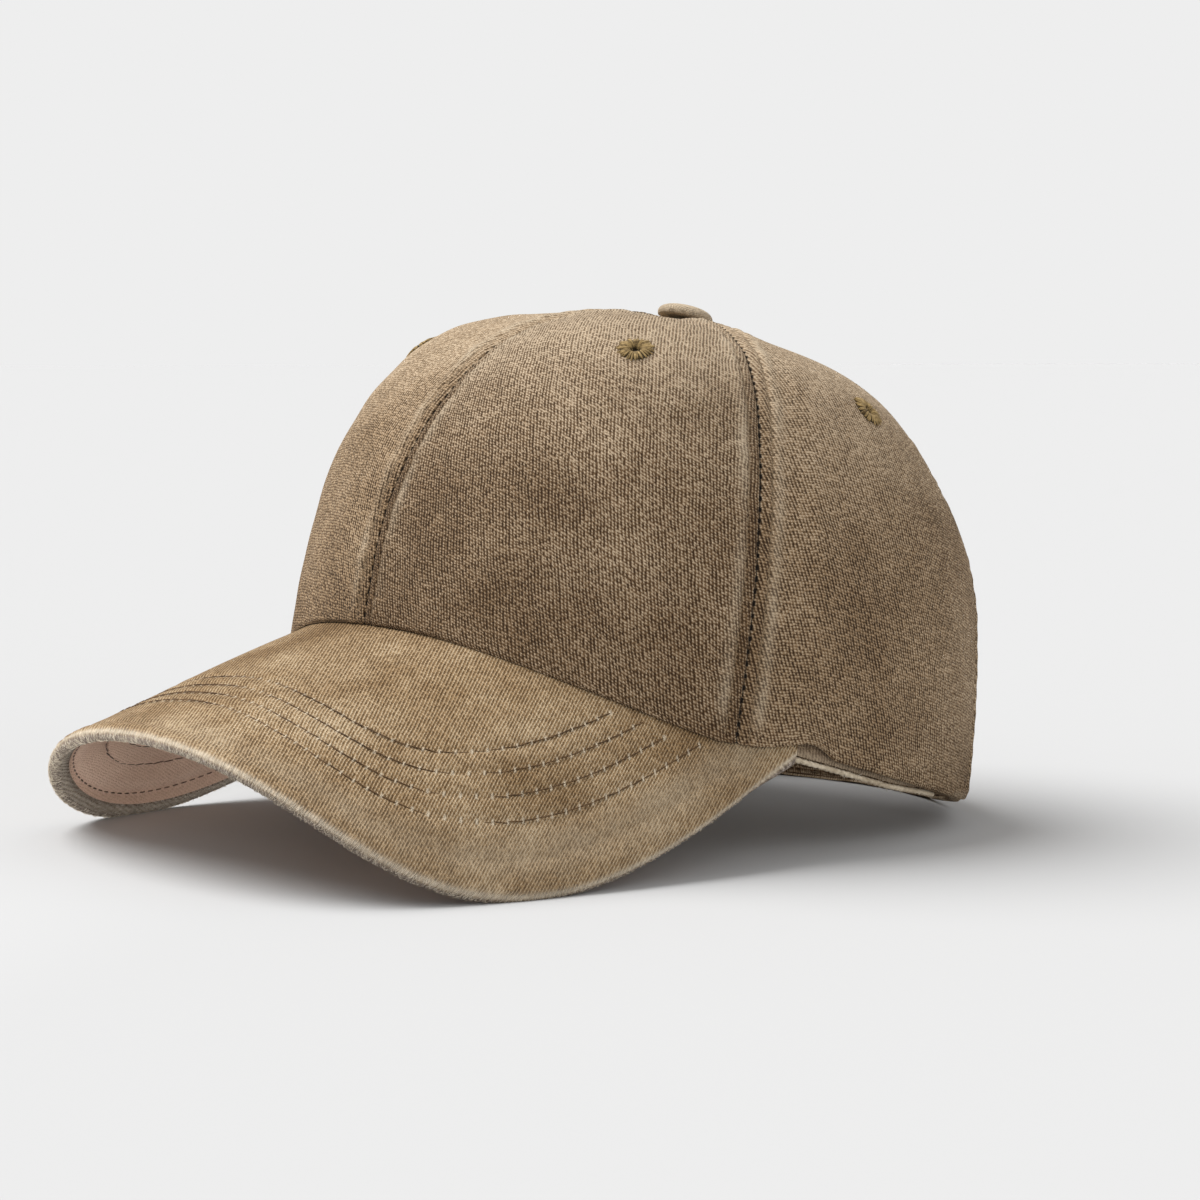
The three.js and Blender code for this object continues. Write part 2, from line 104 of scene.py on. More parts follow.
def makeCamera():
    azimuth, elevation, roll = (math.radians(photoView[key]) for key in ("azimuth", "elevation", "roll"))
    back = np.array([math.sin(azimuth) * math.cos(elevation),
                     -math.cos(azimuth) * math.cos(elevation), math.sin(elevation)])
    right = np.array([math.cos(azimuth), math.sin(azimuth), 0])
    up = np.cross(back, right)
    right, up = (right * math.cos(roll) + up * math.sin(roll), up * math.cos(roll) - right * math.sin(roll))
    aside = photoView["aside"]
    place = np.array(photoView["lookAt"]) - right * aside[0] - up * aside[1] + back * photoView["distance"]
    bpy.ops.object.camera_add()
    camera = bpy.context.object
    camera.name = "photoCamera"
    camera.data.lens = photoView["lens"]
    camera.data.sensor_width = photoView["sensor"]
    camera.data.clip_start = 0.02
    camera.data.clip_end = 60
    axes = [turnToFrame(axis) for axis in (right, up, back)]
    matrix = Matrix([[axes[0][k], axes[1][k], axes[2][k], toFrame(place)[k]] for k in range(3)] + [[0, 0, 0, 1]])
    camera.matrix_world = matrix
    bpy.context.scene.camera = camera


makeCamera()
print("camera made")


# Peak: how high its upper face lies, and its edge in plan
peakSize = {
    "pitch": 34.6,
    "archSpan": 76.8,
    "archRound": 24.4,
    "archEdge": 13.9,
    "corner": 78.2,
    "reach": 58.4,
    "sideReach": 86.4,
    "sideFlare": 11.6,
    "frontFlat": 81.4,
    "tuck": 1.0,
    "topWall": 2.0,
    "underWall": 1.1,
    "layerGap": 0.3,
    "rollWidth": 3.4,
    "rollDepth": 3.8,
}


def peakLevel(x, y):
    side = np.abs(x) / peakSize["archSpan"]
    fall = peakSize["archRound"] * side ** 2 + peakSize["archEdge"] * side ** 4
    return (y + capSize["rimHalfLength"]) * math.tan(math.radians(peakSize["pitch"])) - fall


def peakNormal(x, y):
    step = 0.3
    slopeX = (peakLevel(x + step, y) - peakLevel(x - step, y)) / (2 * step)
    slopeY = (peakLevel(x, y + step) - peakLevel(x, y - step)) / (2 * step)
    return unit(np.stack([-slopeX, -slopeY, np.ones_like(slopeX)], axis=-1))


def ringPoint(azimuth, inset=0.0):
    power = 2 / capSize["rimSquareness"]
    cos, sin = np.cos(azimuth), np.sin(azimuth)
    x = (capSize["rimHalfWidth"] - inset) * np.sign(sin) * np.abs(sin) ** power
    y = -(capSize["rimHalfLength"] - inset) * np.sign(cos) * np.abs(cos) ** power
    return x, y


def turnedBy(azimuth):
    return np.abs(np.arctan2(np.sin(azimuth), np.cos(azimuth)))


def rimLevel(azimuth):
    corner = math.radians(peakSize["corner"])
    turned = turnedBy(azimuth)
    behind = np.maximum(0, (turned - corner) / (math.pi - corner))
    return peakLevel(*ringPoint(np.minimum(turned, corner))) + capSize["backRimRise"] * behind ** 2


def fullnessAt(azimuth):
    powers = capSize["fullness"]
    last = len(powers) - 1
    total = 0
    for wave in range(last + 1):
        weight = sum((0.5 if index in (0, last) else 1) * power * math.cos(wave * math.pi * index / last)
                     for index, power in enumerate(powers))
        total = total + (2 / last) * (0.5 if wave in (0, last) else 1) * weight * np.cos(wave * azimuth)
    return total


def crownSpot(azimuth, angle):
    exponent = 2 / fullnessAt(azimuth)
    spread = np.maximum(0, np.cos(angle)) ** exponent
    rise = np.maximum(0, np.sin(angle)) ** exponent
    x, y = ringPoint(azimuth)
    start = rimLevel(azimuth)
    cone = capSize["apexRise"] * np.maximum(0, 1 - spread / capSize["apexSpread"]) ** capSize["apexRound"]
    level = start + (capSize["crownHeight"] - start) * rise + cone
    return np.stack([x * spread, y * spread - capSize["buttonAhead"] * rise, level], axis=-1)


# Tables for places at a share of the way up from the rim to the button
lineAzimuths = np.radians(np.arange(0, 181, 1.0))
lineAngles = math.pi / 2 * smooth(np.linspace(0, 1, 401), 0, 1)
lineShares = np.linspace(0, 1, 301)
lineSteps = np.linalg.norm(np.diff(crownSpot(lineAzimuths[:, None], lineAngles[None, :]), axis=1), axis=-1)
lineRuns = np.concatenate([np.zeros((len(lineAzimuths), 1)), np.cumsum(lineSteps, axis=1)], axis=1)
angleTable = np.array([np.interp(lineShares * runs[-1], runs, lineAngles) for runs in lineRuns])


def crownLength(azimuth):
    return np.interp(turnedBy(azimuth), lineAzimuths, lineRuns[:, -1])


def crownAt(azimuth, share):
    # a point of the crown's outer face, at a share of the way up
    azimuth, share = np.broadcast_arrays(np.asarray(azimuth, float), np.asarray(share, float))
    column = np.clip(np.degrees(turnedBy(azimuth)), 0, 179.999)
    row = np.clip(share, 0, 1) * (len(lineShares) - 1.001)
    left, low = column.astype(int), row.astype(int)
    across, up = column - left, row - low
    angle = ((angleTable[left, low] * (1 - across) + angleTable[left + 1, low] * across) * (1 - up)
             + (angleTable[left, low + 1] * (1 - across) + angleTable[left + 1, low + 1] * across) * up)
    return crownSpot(azimuth, angle)


def crownNormal(azimuth, share):
    turn, step = 0.01, 0.006
    high = np.minimum(share + step, 1)
    beside = crownAt(azimuth + turn, share) - crownAt(azimuth - turn, share)
    along = crownAt(azimuth, high) - crownAt(azimuth, np.maximum(0, high - 2 * step))
    return unit(np.cross(beside, along))


def backSeamAt(share):
    turnedBack = 1 - smooth(share, *capSize["seamTurn"])
    return np.radians(capSize["backSeam"] + (capSize["backSeamTurned"] - capSize["backSeam"]) * turnedBack)


# Opening in the back, as an arch seen from behind
openingSize = {"halfWidth": 72, "height": 86, "power": 3.2, "corner": 5.5}


def insideOpening(points):
    rim = float(rimLevel(math.pi - math.asin(openingSize["halfWidth"] / capSize["rimHalfWidth"])))
    corner = openingSize["corner"]
    shoulder = rim + corner
    x, z = np.abs(points[..., 0]), points[..., 2]
    up = np.clip((z - shoulder) / (openingSize["height"] - corner), 0, 1)
    arch = openingSize["halfWidth"] * np.maximum(0, 1 - up ** openingSize["power"]) ** (1 / openingSize["power"])
    down = np.clip(shoulder - z, 0, corner)
    foot = openingSize["halfWidth"] + corner - np.sqrt(corner ** 2 - down ** 2)
    width = np.where(z > shoulder, arch, np.where(z > rim, foot, 500))
    return width - x  # above zero inside


def crossing(values, places):
    # the first place where the values rise above zero, or the last place
    above = values > 0
    if not above.any():
        return places[-1]
    first = int(np.argmax(above))
    if first == 0:
        return places[0]
    share = -values[first - 1] / (values[first] - values[first - 1])
    return places[first - 1] + share * (places[first] - places[first - 1])


def sidePanelEnd(share):
    azimuths = np.radians(np.linspace(118, 176, 233))
    ends = [crossing(insideOpening(crownAt(azimuths, up)), azimuths) for up in np.atleast_1d(share)]
    return np.minimum(np.array(ends), backSeamAt(np.atleast_1d(share)))


def backPanelStart(across):
    shares = np.linspace(0.75, 0.3, 451)
    seam = backSeamAt(shares)
    return np.array([crossing(insideOpening(crownAt(seam + (math.pi - seam) * place, shares)), shares)
                     for place in np.atleast_1d(across)])


# Cloth pieces start as a flat grid, whose points are then laid on the cap's shape
def readPoints(piece):
    spots = np.empty(len(piece.data.vertices) * 3, dtype=np.float32)
    piece.data.vertices.foreach_get("co", spots)
    return spots.reshape(-1, 3)


def layGrid(name, across, up):
    bpy.ops.object.select_all(action="DESELECT")
    bpy.ops.mesh.primitive_grid_add(x_subdivisions=across - 1, y_subdivisions=up - 1, size=2)
    piece = bpy.context.object
    piece.name = piece.data.name = name
    spots = readPoints(piece)
    column = np.rint((spots[:, 0] + 1) / 2 * (across - 1)).astype(int)
    row = np.rint((spots[:, 1] + 1) / 2 * (up - 1)).astype(int)
    return piece, row, column


def placePoints(piece, points):
    piece.data.vertices.foreach_set("co", np.ascontiguousarray(points, dtype=np.float32).ravel())
    piece.data.update()


def layCut(piece, u, v):
    # the cut of the cloth, in millimetres, for its weave
    corners = np.empty(len(piece.data.loops), dtype=np.int32)
    piece.data.loops.foreach_get("vertex_index", corners)
    layer = piece.data.uv_layers[0] if piece.data.uv_layers else piece.data.uv_layers.new()
    layer.name = "cut"
    flat = np.stack([np.asarray(u)[corners], np.asarray(v)[corners]], axis=1).astype(np.float32)
    layer.data.foreach_set("uv", flat.ravel())


def note(piece, name, values):
    layer = piece.data.attributes.new(name, "FLOAT", "POINT")
    layer.data.foreach_set("value", np.ascontiguousarray(values, dtype=np.float32))


def applyModifier(piece, kind, **settings):
    bpy.ops.object.select_all(action="DESELECT")
    piece.select_set(True)
    bpy.context.view_layer.objects.active = piece
    modifier = piece.modifiers.new(kind, kind)
    for key, value in settings.items():
        setattr(modifier, key, value)
    bpy.ops.object.modifier_apply(modifier=modifier.name)


def smoothShade(piece, angle=60):
    bpy.ops.object.select_all(action="DESELECT")
    piece.select_set(True)
    bpy.context.view_layer.objects.active = piece
    bpy.ops.object.shade_smooth_by_angle(angle=math.radians(angle))


def nearLine(points, line):
    # distance to a line of points, and how far along it the nearest place is
    best = np.full(len(points), 1e9)
    along = np.zeros(len(points))
    run = 0.0
    for start, end in zip(line[:-1], line[1:]):
        step = end - start
        length = np.linalg.norm(step)
        share = np.clip((points - start) @ step / max(1e-9, length ** 2), 0, 1)
        gap = np.linalg.norm(points - start - share[:, None] * step, axis=1)
        closer = gap < best
        best[closer] = gap[closer]
        along[closer] = run + share[closer] * length
        run += length
    return best, along


def softWaves(points, size, seed, count=7):
    # gentle unevenness with about this distance between its humps
    random = np.random.default_rng(seed)
    total = np.zeros(points.shape[:-1])
    for number in range(count):
        direction = unit(random.normal(size=3))
        total += np.sin(points @ direction * 2 * math.pi / (size * random.uniform(0.7, 1.5)) + random.uniform(0, 6.3))
    return total / math.sqrt(count)


def wallAt(azimuth, distance, depth):
    # a place inside the crown, so far up from its rim and in from its outer face
    values = (np.asarray(value, float) for value in (azimuth, distance, depth))
    azimuth, distance, depth = np.broadcast_arrays(*values)
    share = np.maximum(0, distance) / crownLength(azimuth)
    point = crownAt(azimuth, share) - crownNormal(azimuth, share) * depth[..., None]
    point[..., 2] += np.minimum(0, distance)
    return point


def runsAlong(line):
    return np.concatenate([[0], np.cumsum(np.linalg.norm(np.diff(line, axis=0), axis=1))])


def readAlong(places, runs, values):
    return np.stack([np.interp(places, runs, values[:, axis]) for axis in range(values.shape[1])], axis=1)


def walkAlong(line, pitch, start=0.5):
    # places at even steps along a line, with the way it runs there
    runs = runsAlong(line)
    places = np.arange(start * pitch, runs[-1] - 0.4 * pitch, pitch)
    before, after = (readAlong(places + way * 0.4 * pitch, runs, line) for way in (-1, 1))
    return readAlong(places, runs, line), unit(after - before), places


def modelStitch():
    # one stitch, a millimetre long, high and wide, with blunt ends
    bpy.ops.object.select_all(action="DESELECT")
    bpy.ops.mesh.primitive_uv_sphere_add(segments=6, ring_count=6, radius=0.5, rotation=(0, math.pi / 2, 0))
    stitch = bpy.context.object
    bpy.ops.object.transform_apply(location=False, rotation=True, scale=False)
    bpy.ops.object.mode_set(mode="EDIT")
    bpy.ops.mesh.select_all(action="DESELECT")
    mesh = bmesh.from_edit_mesh(stitch.data)
    for vertex in mesh.verts:
        vertex.select = 0.1 < abs(vertex.co.x) < 0.46
    mesh.select_flush(True)
    bmesh.update_edit_mesh(stitch.data)
    bpy.ops.transform.resize(value=(1.25, 1.12, 1.12))
    bpy.ops.object.mode_set(mode="OBJECT")
    spots = np.array([vertex.co[:] for vertex in stitch.data.vertices])
    faces = np.full((len(stitch.data.polygons), 4), -1)
    for index, polygon in enumerate(stitch.data.polygons):
        faces[index, :len(polygon.vertices)] = polygon.vertices
    bpy.data.objects.remove(stitch)
    return spots, faces


stitchShape = modelStitch()


def makeCopies(name, points):
    # one piece from the points of any number of stitches, in an array of stitch by point
    count, size = points.shape[:2]
    corners = [[corner + copy * size for corner in face if corner >= 0] for copy in range(count)
               for face in stitchShape[1].tolist()]
    mesh = bpy.data.meshes.new(name)
    mesh.from_pydata(toFrame(points.reshape(-1, 3)).tolist(), [], corners)
    mesh.update()
    piece = bpy.data.objects.new(name, mesh)
    bpy.context.scene.collection.objects.link(piece)
    return piece


def copyShape(name, centres, ahead, outward, lengths, widths, heights, seed=1, bend=None):
    # copies of the stitch, laid along the given ways, as one piece
    spots = stitchShape[0]
    random = np.random.default_rng(seed)
    count = len(centres)
    ahead = unit(ahead)
    beside = unit(np.cross(outward, ahead))
    above = np.cross(ahead, beside)
    lengths, widths, heights = (np.broadcast_to(np.asarray(size, float), count)[:, None, None]
                                for size in (lengths, widths, heights))
    local = np.broadcast_to(spots, (count, *spots.shape))
    points = centres[:, None, :] + local[..., 0:1] * lengths * ahead[:, None, :]
    points = points + local[..., 1:2] * widths * beside[:, None, :] + local[..., 2:3] * heights * above[:, None, :]
    if bend is not None:
        lift = (1 - 4 * local[..., 0:1] ** 2) * np.broadcast_to(bend, count)[:, None, None]
        points = points + lift * above[:, None, :]
    piece = makeCopies(name, points)
    note(piece, "tint", np.repeat(random.uniform(0, 1, count), len(spots)))
    return piece


def finishPiece(piece, material, node=None, angle=60):
    smoothShade(piece, angle)
    piece.data.materials.clear()
    piece.data.materials.append(material)
    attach(piece, "root")
    if node:
        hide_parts(node)


def pressFlat(piece):
    # cloth that touches the surface it rests on is flattened there
    spots = readPoints(piece)
    spots[:, 2] = np.maximum(spots[:, 2], 0)
    placePoints(piece, spots)


def giveWall(piece, thickness, inner=None):
    # a wall inwards from the outer face, and its inner face laid where the cloth's back is
    count = len(piece.data.vertices)
    outer = readPoints(piece)
    applyModifier(piece, "SOLIDIFY", thickness=thickness / 1000, offset=-1, use_rim=True)
    if inner is None:
        return
    spots = readPoints(piece)
    first = np.abs(spots[:count] - outer).max() < 1e-6
    spots[count:2 * count] = inner
    if not first:
        spots[:count] = inner
        spots[count:2 * count] = outer
    placePoints(piece, spots)


def closePiece(piece):
    # joins the edges that meet and fills the ends
    mesh = bmesh.new()
    mesh.from_mesh(piece.data)
    bmesh.ops.remove_doubles(mesh, verts=mesh.verts, dist=2e-6)
    bmesh.ops.holes_fill(mesh, edges=[edge for edge in mesh.edges if edge.is_boundary], sides=0)
    bmesh.ops.recalc_face_normals(mesh, faces=mesh.faces)
    mesh.to_mesh(piece.data)
    mesh.free()


# Materials
def nodeMaker(material):
    tree = material.node_tree

    def add(kind, inputs=None, **settings):
        node = tree.nodes.new(kind)
        for key, value in settings.items():
            setattr(node, key, value)
        for key, value in (inputs or {}).items():
            socket = node.inputs[key]
            if isinstance(value, bpy.types.NodeSocket):
                tree.links.new(value, socket)
            else:
                socket.default_value = value
        return node

    return add


def newMaterial(name):
    material = bpy.data.materials.new(name)
    material.use_nodes = True
    material.node_tree.nodes.clear()
    return material


def mathNode(add, operation, a, b=0.0, clamp=False):
    return add("ShaderNodeMath", {0: a, 1: b}, operation=operation, use_clamp=clamp).outputs[0]


def mapped(add, value, fromLow, fromHigh, low=0.0, high=1.0):
    return add("ShaderNodeMapRange", {"Value": value, "From Min": fromLow, "From Max": fromHigh,
                                      "To Min": low, "To Max": high}, clamp=True).outputs["Result"]


def total(add, *parts):
    # adds up a start value and any number of (value, weight) pairs
    result = parts[0]
    for value, weight in parts[1:]:
        result = mathNode(add, "ADD", result, mathNode(add, "MULTIPLY", value, weight))
    return result


def blended(add, share, colour, other):
    return add("ShaderNodeMix", {"Factor": share, 6: colour, 7: other}, data_type="RGBA").outputs[2]


twillLook = {
    "dark": (0.046, 0.023, 0.009),
    "middle": (0.196, 0.116, 0.056),
    "pale": (0.68, 0.53, 0.365),
    "worn": (0.62, 0.50, 0.355),
    "faded": 0.25,  # how much paler the top of the crown grows: partly sun fading, partly painted top light
    "columnPitch": 0.92,  # millimetres between columns of raised threads
    "dotPitch": 0.80,  # and between the threads in a column
    "turn": 0,  # degrees that the columns lean in the cut
    "drift": 1.6,
    "columns": 0.16,
    "dots": 0.52,
    "luck": 0.26,  # how unevenly the threads have faded
    "grain": 0.20,
    "mottle": 0.10,
    "blotch": 0.09,
    "bump": 0.00030,
    "fadedFrom": (0.085, 0.138),  # metres above the floor between which the top grows paler
    "needlePitch": 3.0,
    "holeShadeColour": (0.012, 0.007, 0.004),
    "fleckColour": (0.72, 0.60, 0.44),
    "furDark": (0.085, 0.063, 0.048),  # the fibres of the rolled edge
    "furMiddle": (0.29, 0.232, 0.186),
    "furPale": (0.68, 0.60, 0.52),
    "rimColour": (0.66, 0.58, 0.46),
    "seamHoles": False,
    "stitchFlecks": False,
    "roll": False,
}


def twillMaterial(name, **changes):
    look = {**twillLook, **changes}
    material = newMaterial(name)
    add = nodeMaker(material)
    cut = add("ShaderNodeUVMap", uv_map="cut").outputs[0]
    place = add("ShaderNodeTexCoord").outputs["Object"]

    def attribute(word):
        return add("ShaderNodeAttribute", attribute_name=word, attribute_type="GEOMETRY").outputs["Fac"]

    def noise(vector, scale, detail=2.0, roughness=0.5, low=0.3, high=0.7):
        value = add("ShaderNodeTexNoise", {"Vector": vector, "Scale": scale, "Detail": detail,
                                           "Roughness": roughness}).outputs["Fac"]
        return mapped(add, value, low, high, -1.0, 1.0)

    # raised threads stand in columns, half a step apart, and each has faded by its own amount
    drift = add("ShaderNodeTexNoise", {"Vector": cut, "Scale": 0.09, "Detail": 2.0}).outputs["Color"]
    drift = add("ShaderNodeVectorMath", {0: drift, "Scale": look["drift"]}, operation="SCALE").outputs[0]
    cloth = add("ShaderNodeVectorMath", {0: cut, 1: drift}, operation="ADD").outputs[0]
    turned = add("ShaderNodeVectorRotate", {"Vector": cloth, "Angle": -math.radians(look["turn"])},
                 rotation_type="Z_AXIS").outputs[0]
    parts = add("ShaderNodeSeparateXYZ", {"Vector": turned})
    column = mathNode(add, "DIVIDE", parts.outputs[0], look["columnPitch"])
    step = total(add, mathNode(add, "DIVIDE", parts.outputs[1], look["dotPitch"]), (column, 0.5))
    lattice = add("ShaderNodeCombineXYZ", {0: column, 1: step, 2: 0.0}).outputs[0]
    cells = add("ShaderNodeTexVoronoi", {"Vector": lattice, "Scale": 1.0, "Randomness": 0.42},
                voronoi_dimensions="2D")
    dot = mapped(add, cells.outputs["Distance"], 0.12, 0.62, 1.0, -1.0)
    luck = add("ShaderNodeSeparateColor", {0: cells.outputs["Color"]}).outputs[0]
    luck = mapped(add, luck, 0.0, 1.0, -1.0, 1.0)
    ribs = mathNode(add, "COSINE", mathNode(add, "MULTIPLY", column, 2 * math.pi))
    grain = noise(cut, 2.1, 3.0, 0.75)

    fade = total(add, 0.5, (ribs, look["columns"]), (dot, look["dots"] * 0.5), (luck, look["luck"] * 0.5),
                 (grain, look["grain"]), (noise(place, 42.0, 4.0, 0.6), look["mottle"]),
                 (noise(place, 13.0, 2.0, 0.5), look["blotch"]))
    level = add("ShaderNodeSeparateXYZ", {"Vector": place}).outputs[2]
    # the crown grows paler towards its top: partly sun fading, partly painted top light
    faded = mapped(add, level, *look["fadedFrom"])
    # painted shade: darker where the shade attribute is set
    fade = total(add, fade, (attribute("shade"), -0.16), (faded, look["faded"]))
    ramp = add("ShaderNodeValToRGB", {"Fac": fade})
    stops = ramp.color_ramp.elements
    stops[0].position, stops[0].color = 0.08, (*look["dark"], 1)
    stops[1].position, stops[1].color = 0.95, (*look["pale"], 1)
    middle = stops.new(0.50)
    middle.color = (*look["middle"], 1)
    # pale where the attribute is set: real wear, and painted light where a piece adds it
    paling = mathNode(add, "MULTIPLY", attribute("wearAndPaintedLight"), total(add, 0.72, (noise(place, 160.0, 3.0, 0.6), 0.32)))
    paling = mathNode(add, "MULTIPLY", paling, mapped(add, fade, 0.15, 0.75, 0.35, 1.0), clamp=True)
    colour = blended(add, paling, ramp.outputs["Color"], (*look["worn"], 1))
    height = total(add, 0.0, (dot, 0.45), (luck, 0.25), (grain, 0.3), (ribs, 2.5 * look["columns"]))

    if look["seamHoles"]:
        # needle holes along each seam, and the seam's crack, drawn near black: painted shade
        gap, run = attribute("seamGap"), attribute("seamRun")
        beat = mathNode(add, "COSINE", mathNode(add, "MULTIPLY", run, 2 * math.pi / look["needlePitch"]))
        beat = total(add, beat, (noise(place, 600.0, 1.0), 0.35))
        holes = mathNode(add, "MULTIPLY", mapped(add, beat, 0.0, 0.5), mapped(add, gap, 0.50, 0.26), clamp=True)
        line = mathNode(add, "MULTIPLY", mapped(add, gap, 0.24, 0.06), 0.55)
        holes = mathNode(add, "MAXIMUM", holes, line)
        colour = blended(add, holes, colour, (*look["holeShadeColour"], 1))
        height = total(add, height, (holes, -1.5))

    if look["stitchFlecks"]:
        # cloth drawn up pale between the stitches
        gap, run = attribute("rowGap"), attribute("rowRun")
        beat = mathNode(add, "COSINE", mathNode(add, "MULTIPLY", run, 2 * math.pi / look["stitchFlecks"]))
        flecks = mathNode(add, "MULTIPLY", mapped(add, beat, 0.78, 0.93), mapped(add, gap, 0.62, 0.28), clamp=True)
        colour = blended(add, mathNode(add, "MULTIPLY", flecks, 0.85), colour, (*look["fleckColour"], 1))
        height = total(add, height, (flecks, 1.6), (mapped(add, gap, 0.7, 0.1), -1.0))

    if look["roll"]:
        # the rolled edge: cut fibres lie across it, greyish, with a pale rim
        around = attribute("roll")
        strands = add("ShaderNodeVectorMath", {0: cut, 1: (2.6, 0.55, 1.0)}, operation="MULTIPLY").outputs[0]
        strands = noise(strands, 1.0, 3.0, 0.7)
        furry = total(add, 0.42, (strands, 0.34), (grain, 0.25))
        greyish = add("ShaderNodeValToRGB", {"Fac": furry})
        ends = greyish.color_ramp.elements
        ends[0].position, ends[0].color = 0.05, (*look["furDark"], 1)
        ends[1].position, ends[1].color = 0.95, (*look["furPale"], 1)
        between = ends.new(0.48)
        between.color = (*look["furMiddle"], 1)
        colour = blended(add, mapped(add, around, 0.25, 0.45), colour, greyish.outputs["Color"])
        rim = mathNode(add, "MULTIPLY", attribute("rim"), total(add, 0.8, (strands, 0.3)), clamp=True)
        colour = blended(add, rim, colour, (*look["rimColour"], 1))

    bump = add("ShaderNodeBump", {"Height": height, "Strength": 1.0, "Distance": look["bump"]}).outputs[0]
    shader = add("ShaderNodeBsdfPrincipled", {"Base Color": colour, "Roughness": 0.95, "Normal": bump,
                                              "Sheen Weight": 0.05, "Sheen Roughness": 0.6,
                                              "Sheen Tint": (0.93, 0.88, 0.78, 1), "Specular IOR Level": 0.12})
    add("ShaderNodeOutputMaterial", {"Surface": shader.outputs[0]})
    return material


threadLook = {"bump": 0.00008, "roughness": 0.78}


def threadMaterial(name, dark, pale, scale=900.0):
    # a twisted sewing thread, uneven in colour, and each stitch has its own tint
    material = newMaterial(name)
    add = nodeMaker(material)
    place = add("ShaderNodeTexCoord").outputs["Object"]
    fleck = add("ShaderNodeTexNoise", {"Vector": place, "Scale": scale, "Detail": 3.0,
                                       "Roughness": 0.6}).outputs["Fac"]
    tint = add("ShaderNodeAttribute", attribute_name="tint", attribute_type="GEOMETRY").outputs["Fac"]
    share = total(add, 0.0, (mapped(add, fleck, 0.32, 0.68), 0.6), (tint, 0.4))
    colour = blended(add, share, (*dark, 1), (*pale, 1))
    bump = add("ShaderNodeBump", {"Height": fleck, "Strength": 0.8, "Distance": threadLook["bump"]}).outputs[0]
    shader = add("ShaderNodeBsdfPrincipled", {"Base Color": colour, "Roughness": threadLook["roughness"],
                                              "Normal": bump, "Sheen Weight": 0.05, "Specular IOR Level": 0.2})
    add("ShaderNodeOutputMaterial", {"Surface": shader.outputs[0]})
    return material


stitchPitch = {"seam": 2.9, "hem": 3.1, "peak": 3.9, "edge": 3.0, "strap": 3.0}
frontTwill = twillMaterial("frontTwill", seamHoles=True, turn=14)
# a paler copy of the front twill for the right front panel, on the key light's side: painted light
fadedTwill = twillMaterial("fadedTwill", seamHoles=True, turn=14, middle=(0.350, 0.228, 0.124))
# the side panels' twill is paler, and paler still at the top: partly its own tone, partly painted light where the key
# light falls less
sideTwill = twillMaterial("sideTwill", seamHoles=True, turn=22, middle=(0.285, 0.180, 0.094), faded=0.34)
# the button's cover is far paler than the crown's twill: partly sun fading, partly painted top light
buttonTwill = twillMaterial("buttonTwill", turn=20, middle=(0.66, 0.54, 0.39), faded=0.40)
strapTwill = twillMaterial("strapTwill", turn=90)
peakTwill = twillMaterial("peakTwill", dark=(0.11, 0.058, 0.021), middle=(0.320, 0.199, 0.093),
                          pale=(0.64, 0.505, 0.335), worn=(0.47, 0.365, 0.243), turn=40, columnPitch=1.0,
                          dotPitch=0.85, columns=0.21, dots=0.26, luck=0.20, grain=0.21, mottle=0.19, blotch=0.14,
                          stitchFlecks=stitchPitch["peak"], roll=True, drift=1.0)
# the underside's pale colours: partly its own lighter cloth, partly painted light standing in for light from below
undersideCloth = twillMaterial("undersideCloth", dark=(0.44, 0.27, 0.19), middle=(0.69, 0.47, 0.35),
                               pale=(0.82, 0.63, 0.50), worn=(0.84, 0.66, 0.54), turn=40, columns=0.05, dots=0.14,
                               luck=0.16, grain=0.10, bump=0.0001, columnPitch=0.7, dotPitch=0.6)
bandCloth = twillMaterial("bandCloth", dark=(0.060, 0.038, 0.022), middle=(0.15, 0.100, 0.062),
                          pale=(0.40, 0.30, 0.20), worn=(0.42, 0.33, 0.23), dots=0.16, luck=0.2, bump=0.00012)
seamThread = threadMaterial("seamThread", (0.10, 0.066, 0.034), (0.33, 0.24, 0.145))
peakThread = threadMaterial("peakThread", (0.042, 0.022, 0.009), (0.150, 0.084, 0.036))
edgeThread = threadMaterial("edgeThread", (0.050, 0.028, 0.020), (0.20, 0.125, 0.095))
eyeletThread = threadMaterial("eyeletThread", (0.070, 0.040, 0.012), (0.50, 0.35, 0.150))
# thread under the eyelet's ring and lining its hole, near black: painted shade in the hole
eyeletHoleShade = threadMaterial("eyeletHoleShade", (0.030, 0.020, 0.008), (0.12, 0.085, 0.035))
pipingThread = threadMaterial("pipingThread", (0.36, 0.28, 0.185), (0.74, 0.64, 0.49))
looseThread = threadMaterial("looseThread", (0.40, 0.33, 0.24), (0.72, 0.64, 0.52))
print("materials made")


# Crown panels
panelFinish = {
    "seamGap": 0.04,
    "bottomGap": 0.3,
    "buttonHole": 2.2,  # how far from the button's middle the panels stop
    "stitchRow": 3.2,
    "denseZone": 12.0,
    "softness": 0.32,
    "hem": 2.6,
    "eyeletDistance": {"front": 74, "side": 74, "back": 56},  # from the button's middle, along the crown
    "eyeletAzimuths": {"front": 41, "side": 96, "back": 153},
    "eyeletOpening": 3.2,
    "seamRows": (0.012, 0.93),  # shares of the way up between which the seams' rows of stitches run
    "openingRow": (0.02, 0.014),  # and beside the opening, from the rim and below the back seam's end
    "seamAboveOpening": 0.023,
    "columns": 84,
    "rows": 132,
}

seamPlaces = np.array([0, 0.12, 0.26, 0.42, 0.62, 0.85, 1.15, 1.6, 2.1, 2.6, 2.95, 3.2, 3.45, 3.75,
                       4.2, 4.8, 5.5, 6.4, 7.5, 8.8, 10.3, 12.0])
seamRowColumn = 11
hemRowColumn = 9
hemRow = 10  # in the back panels, whose hem is their lower edge


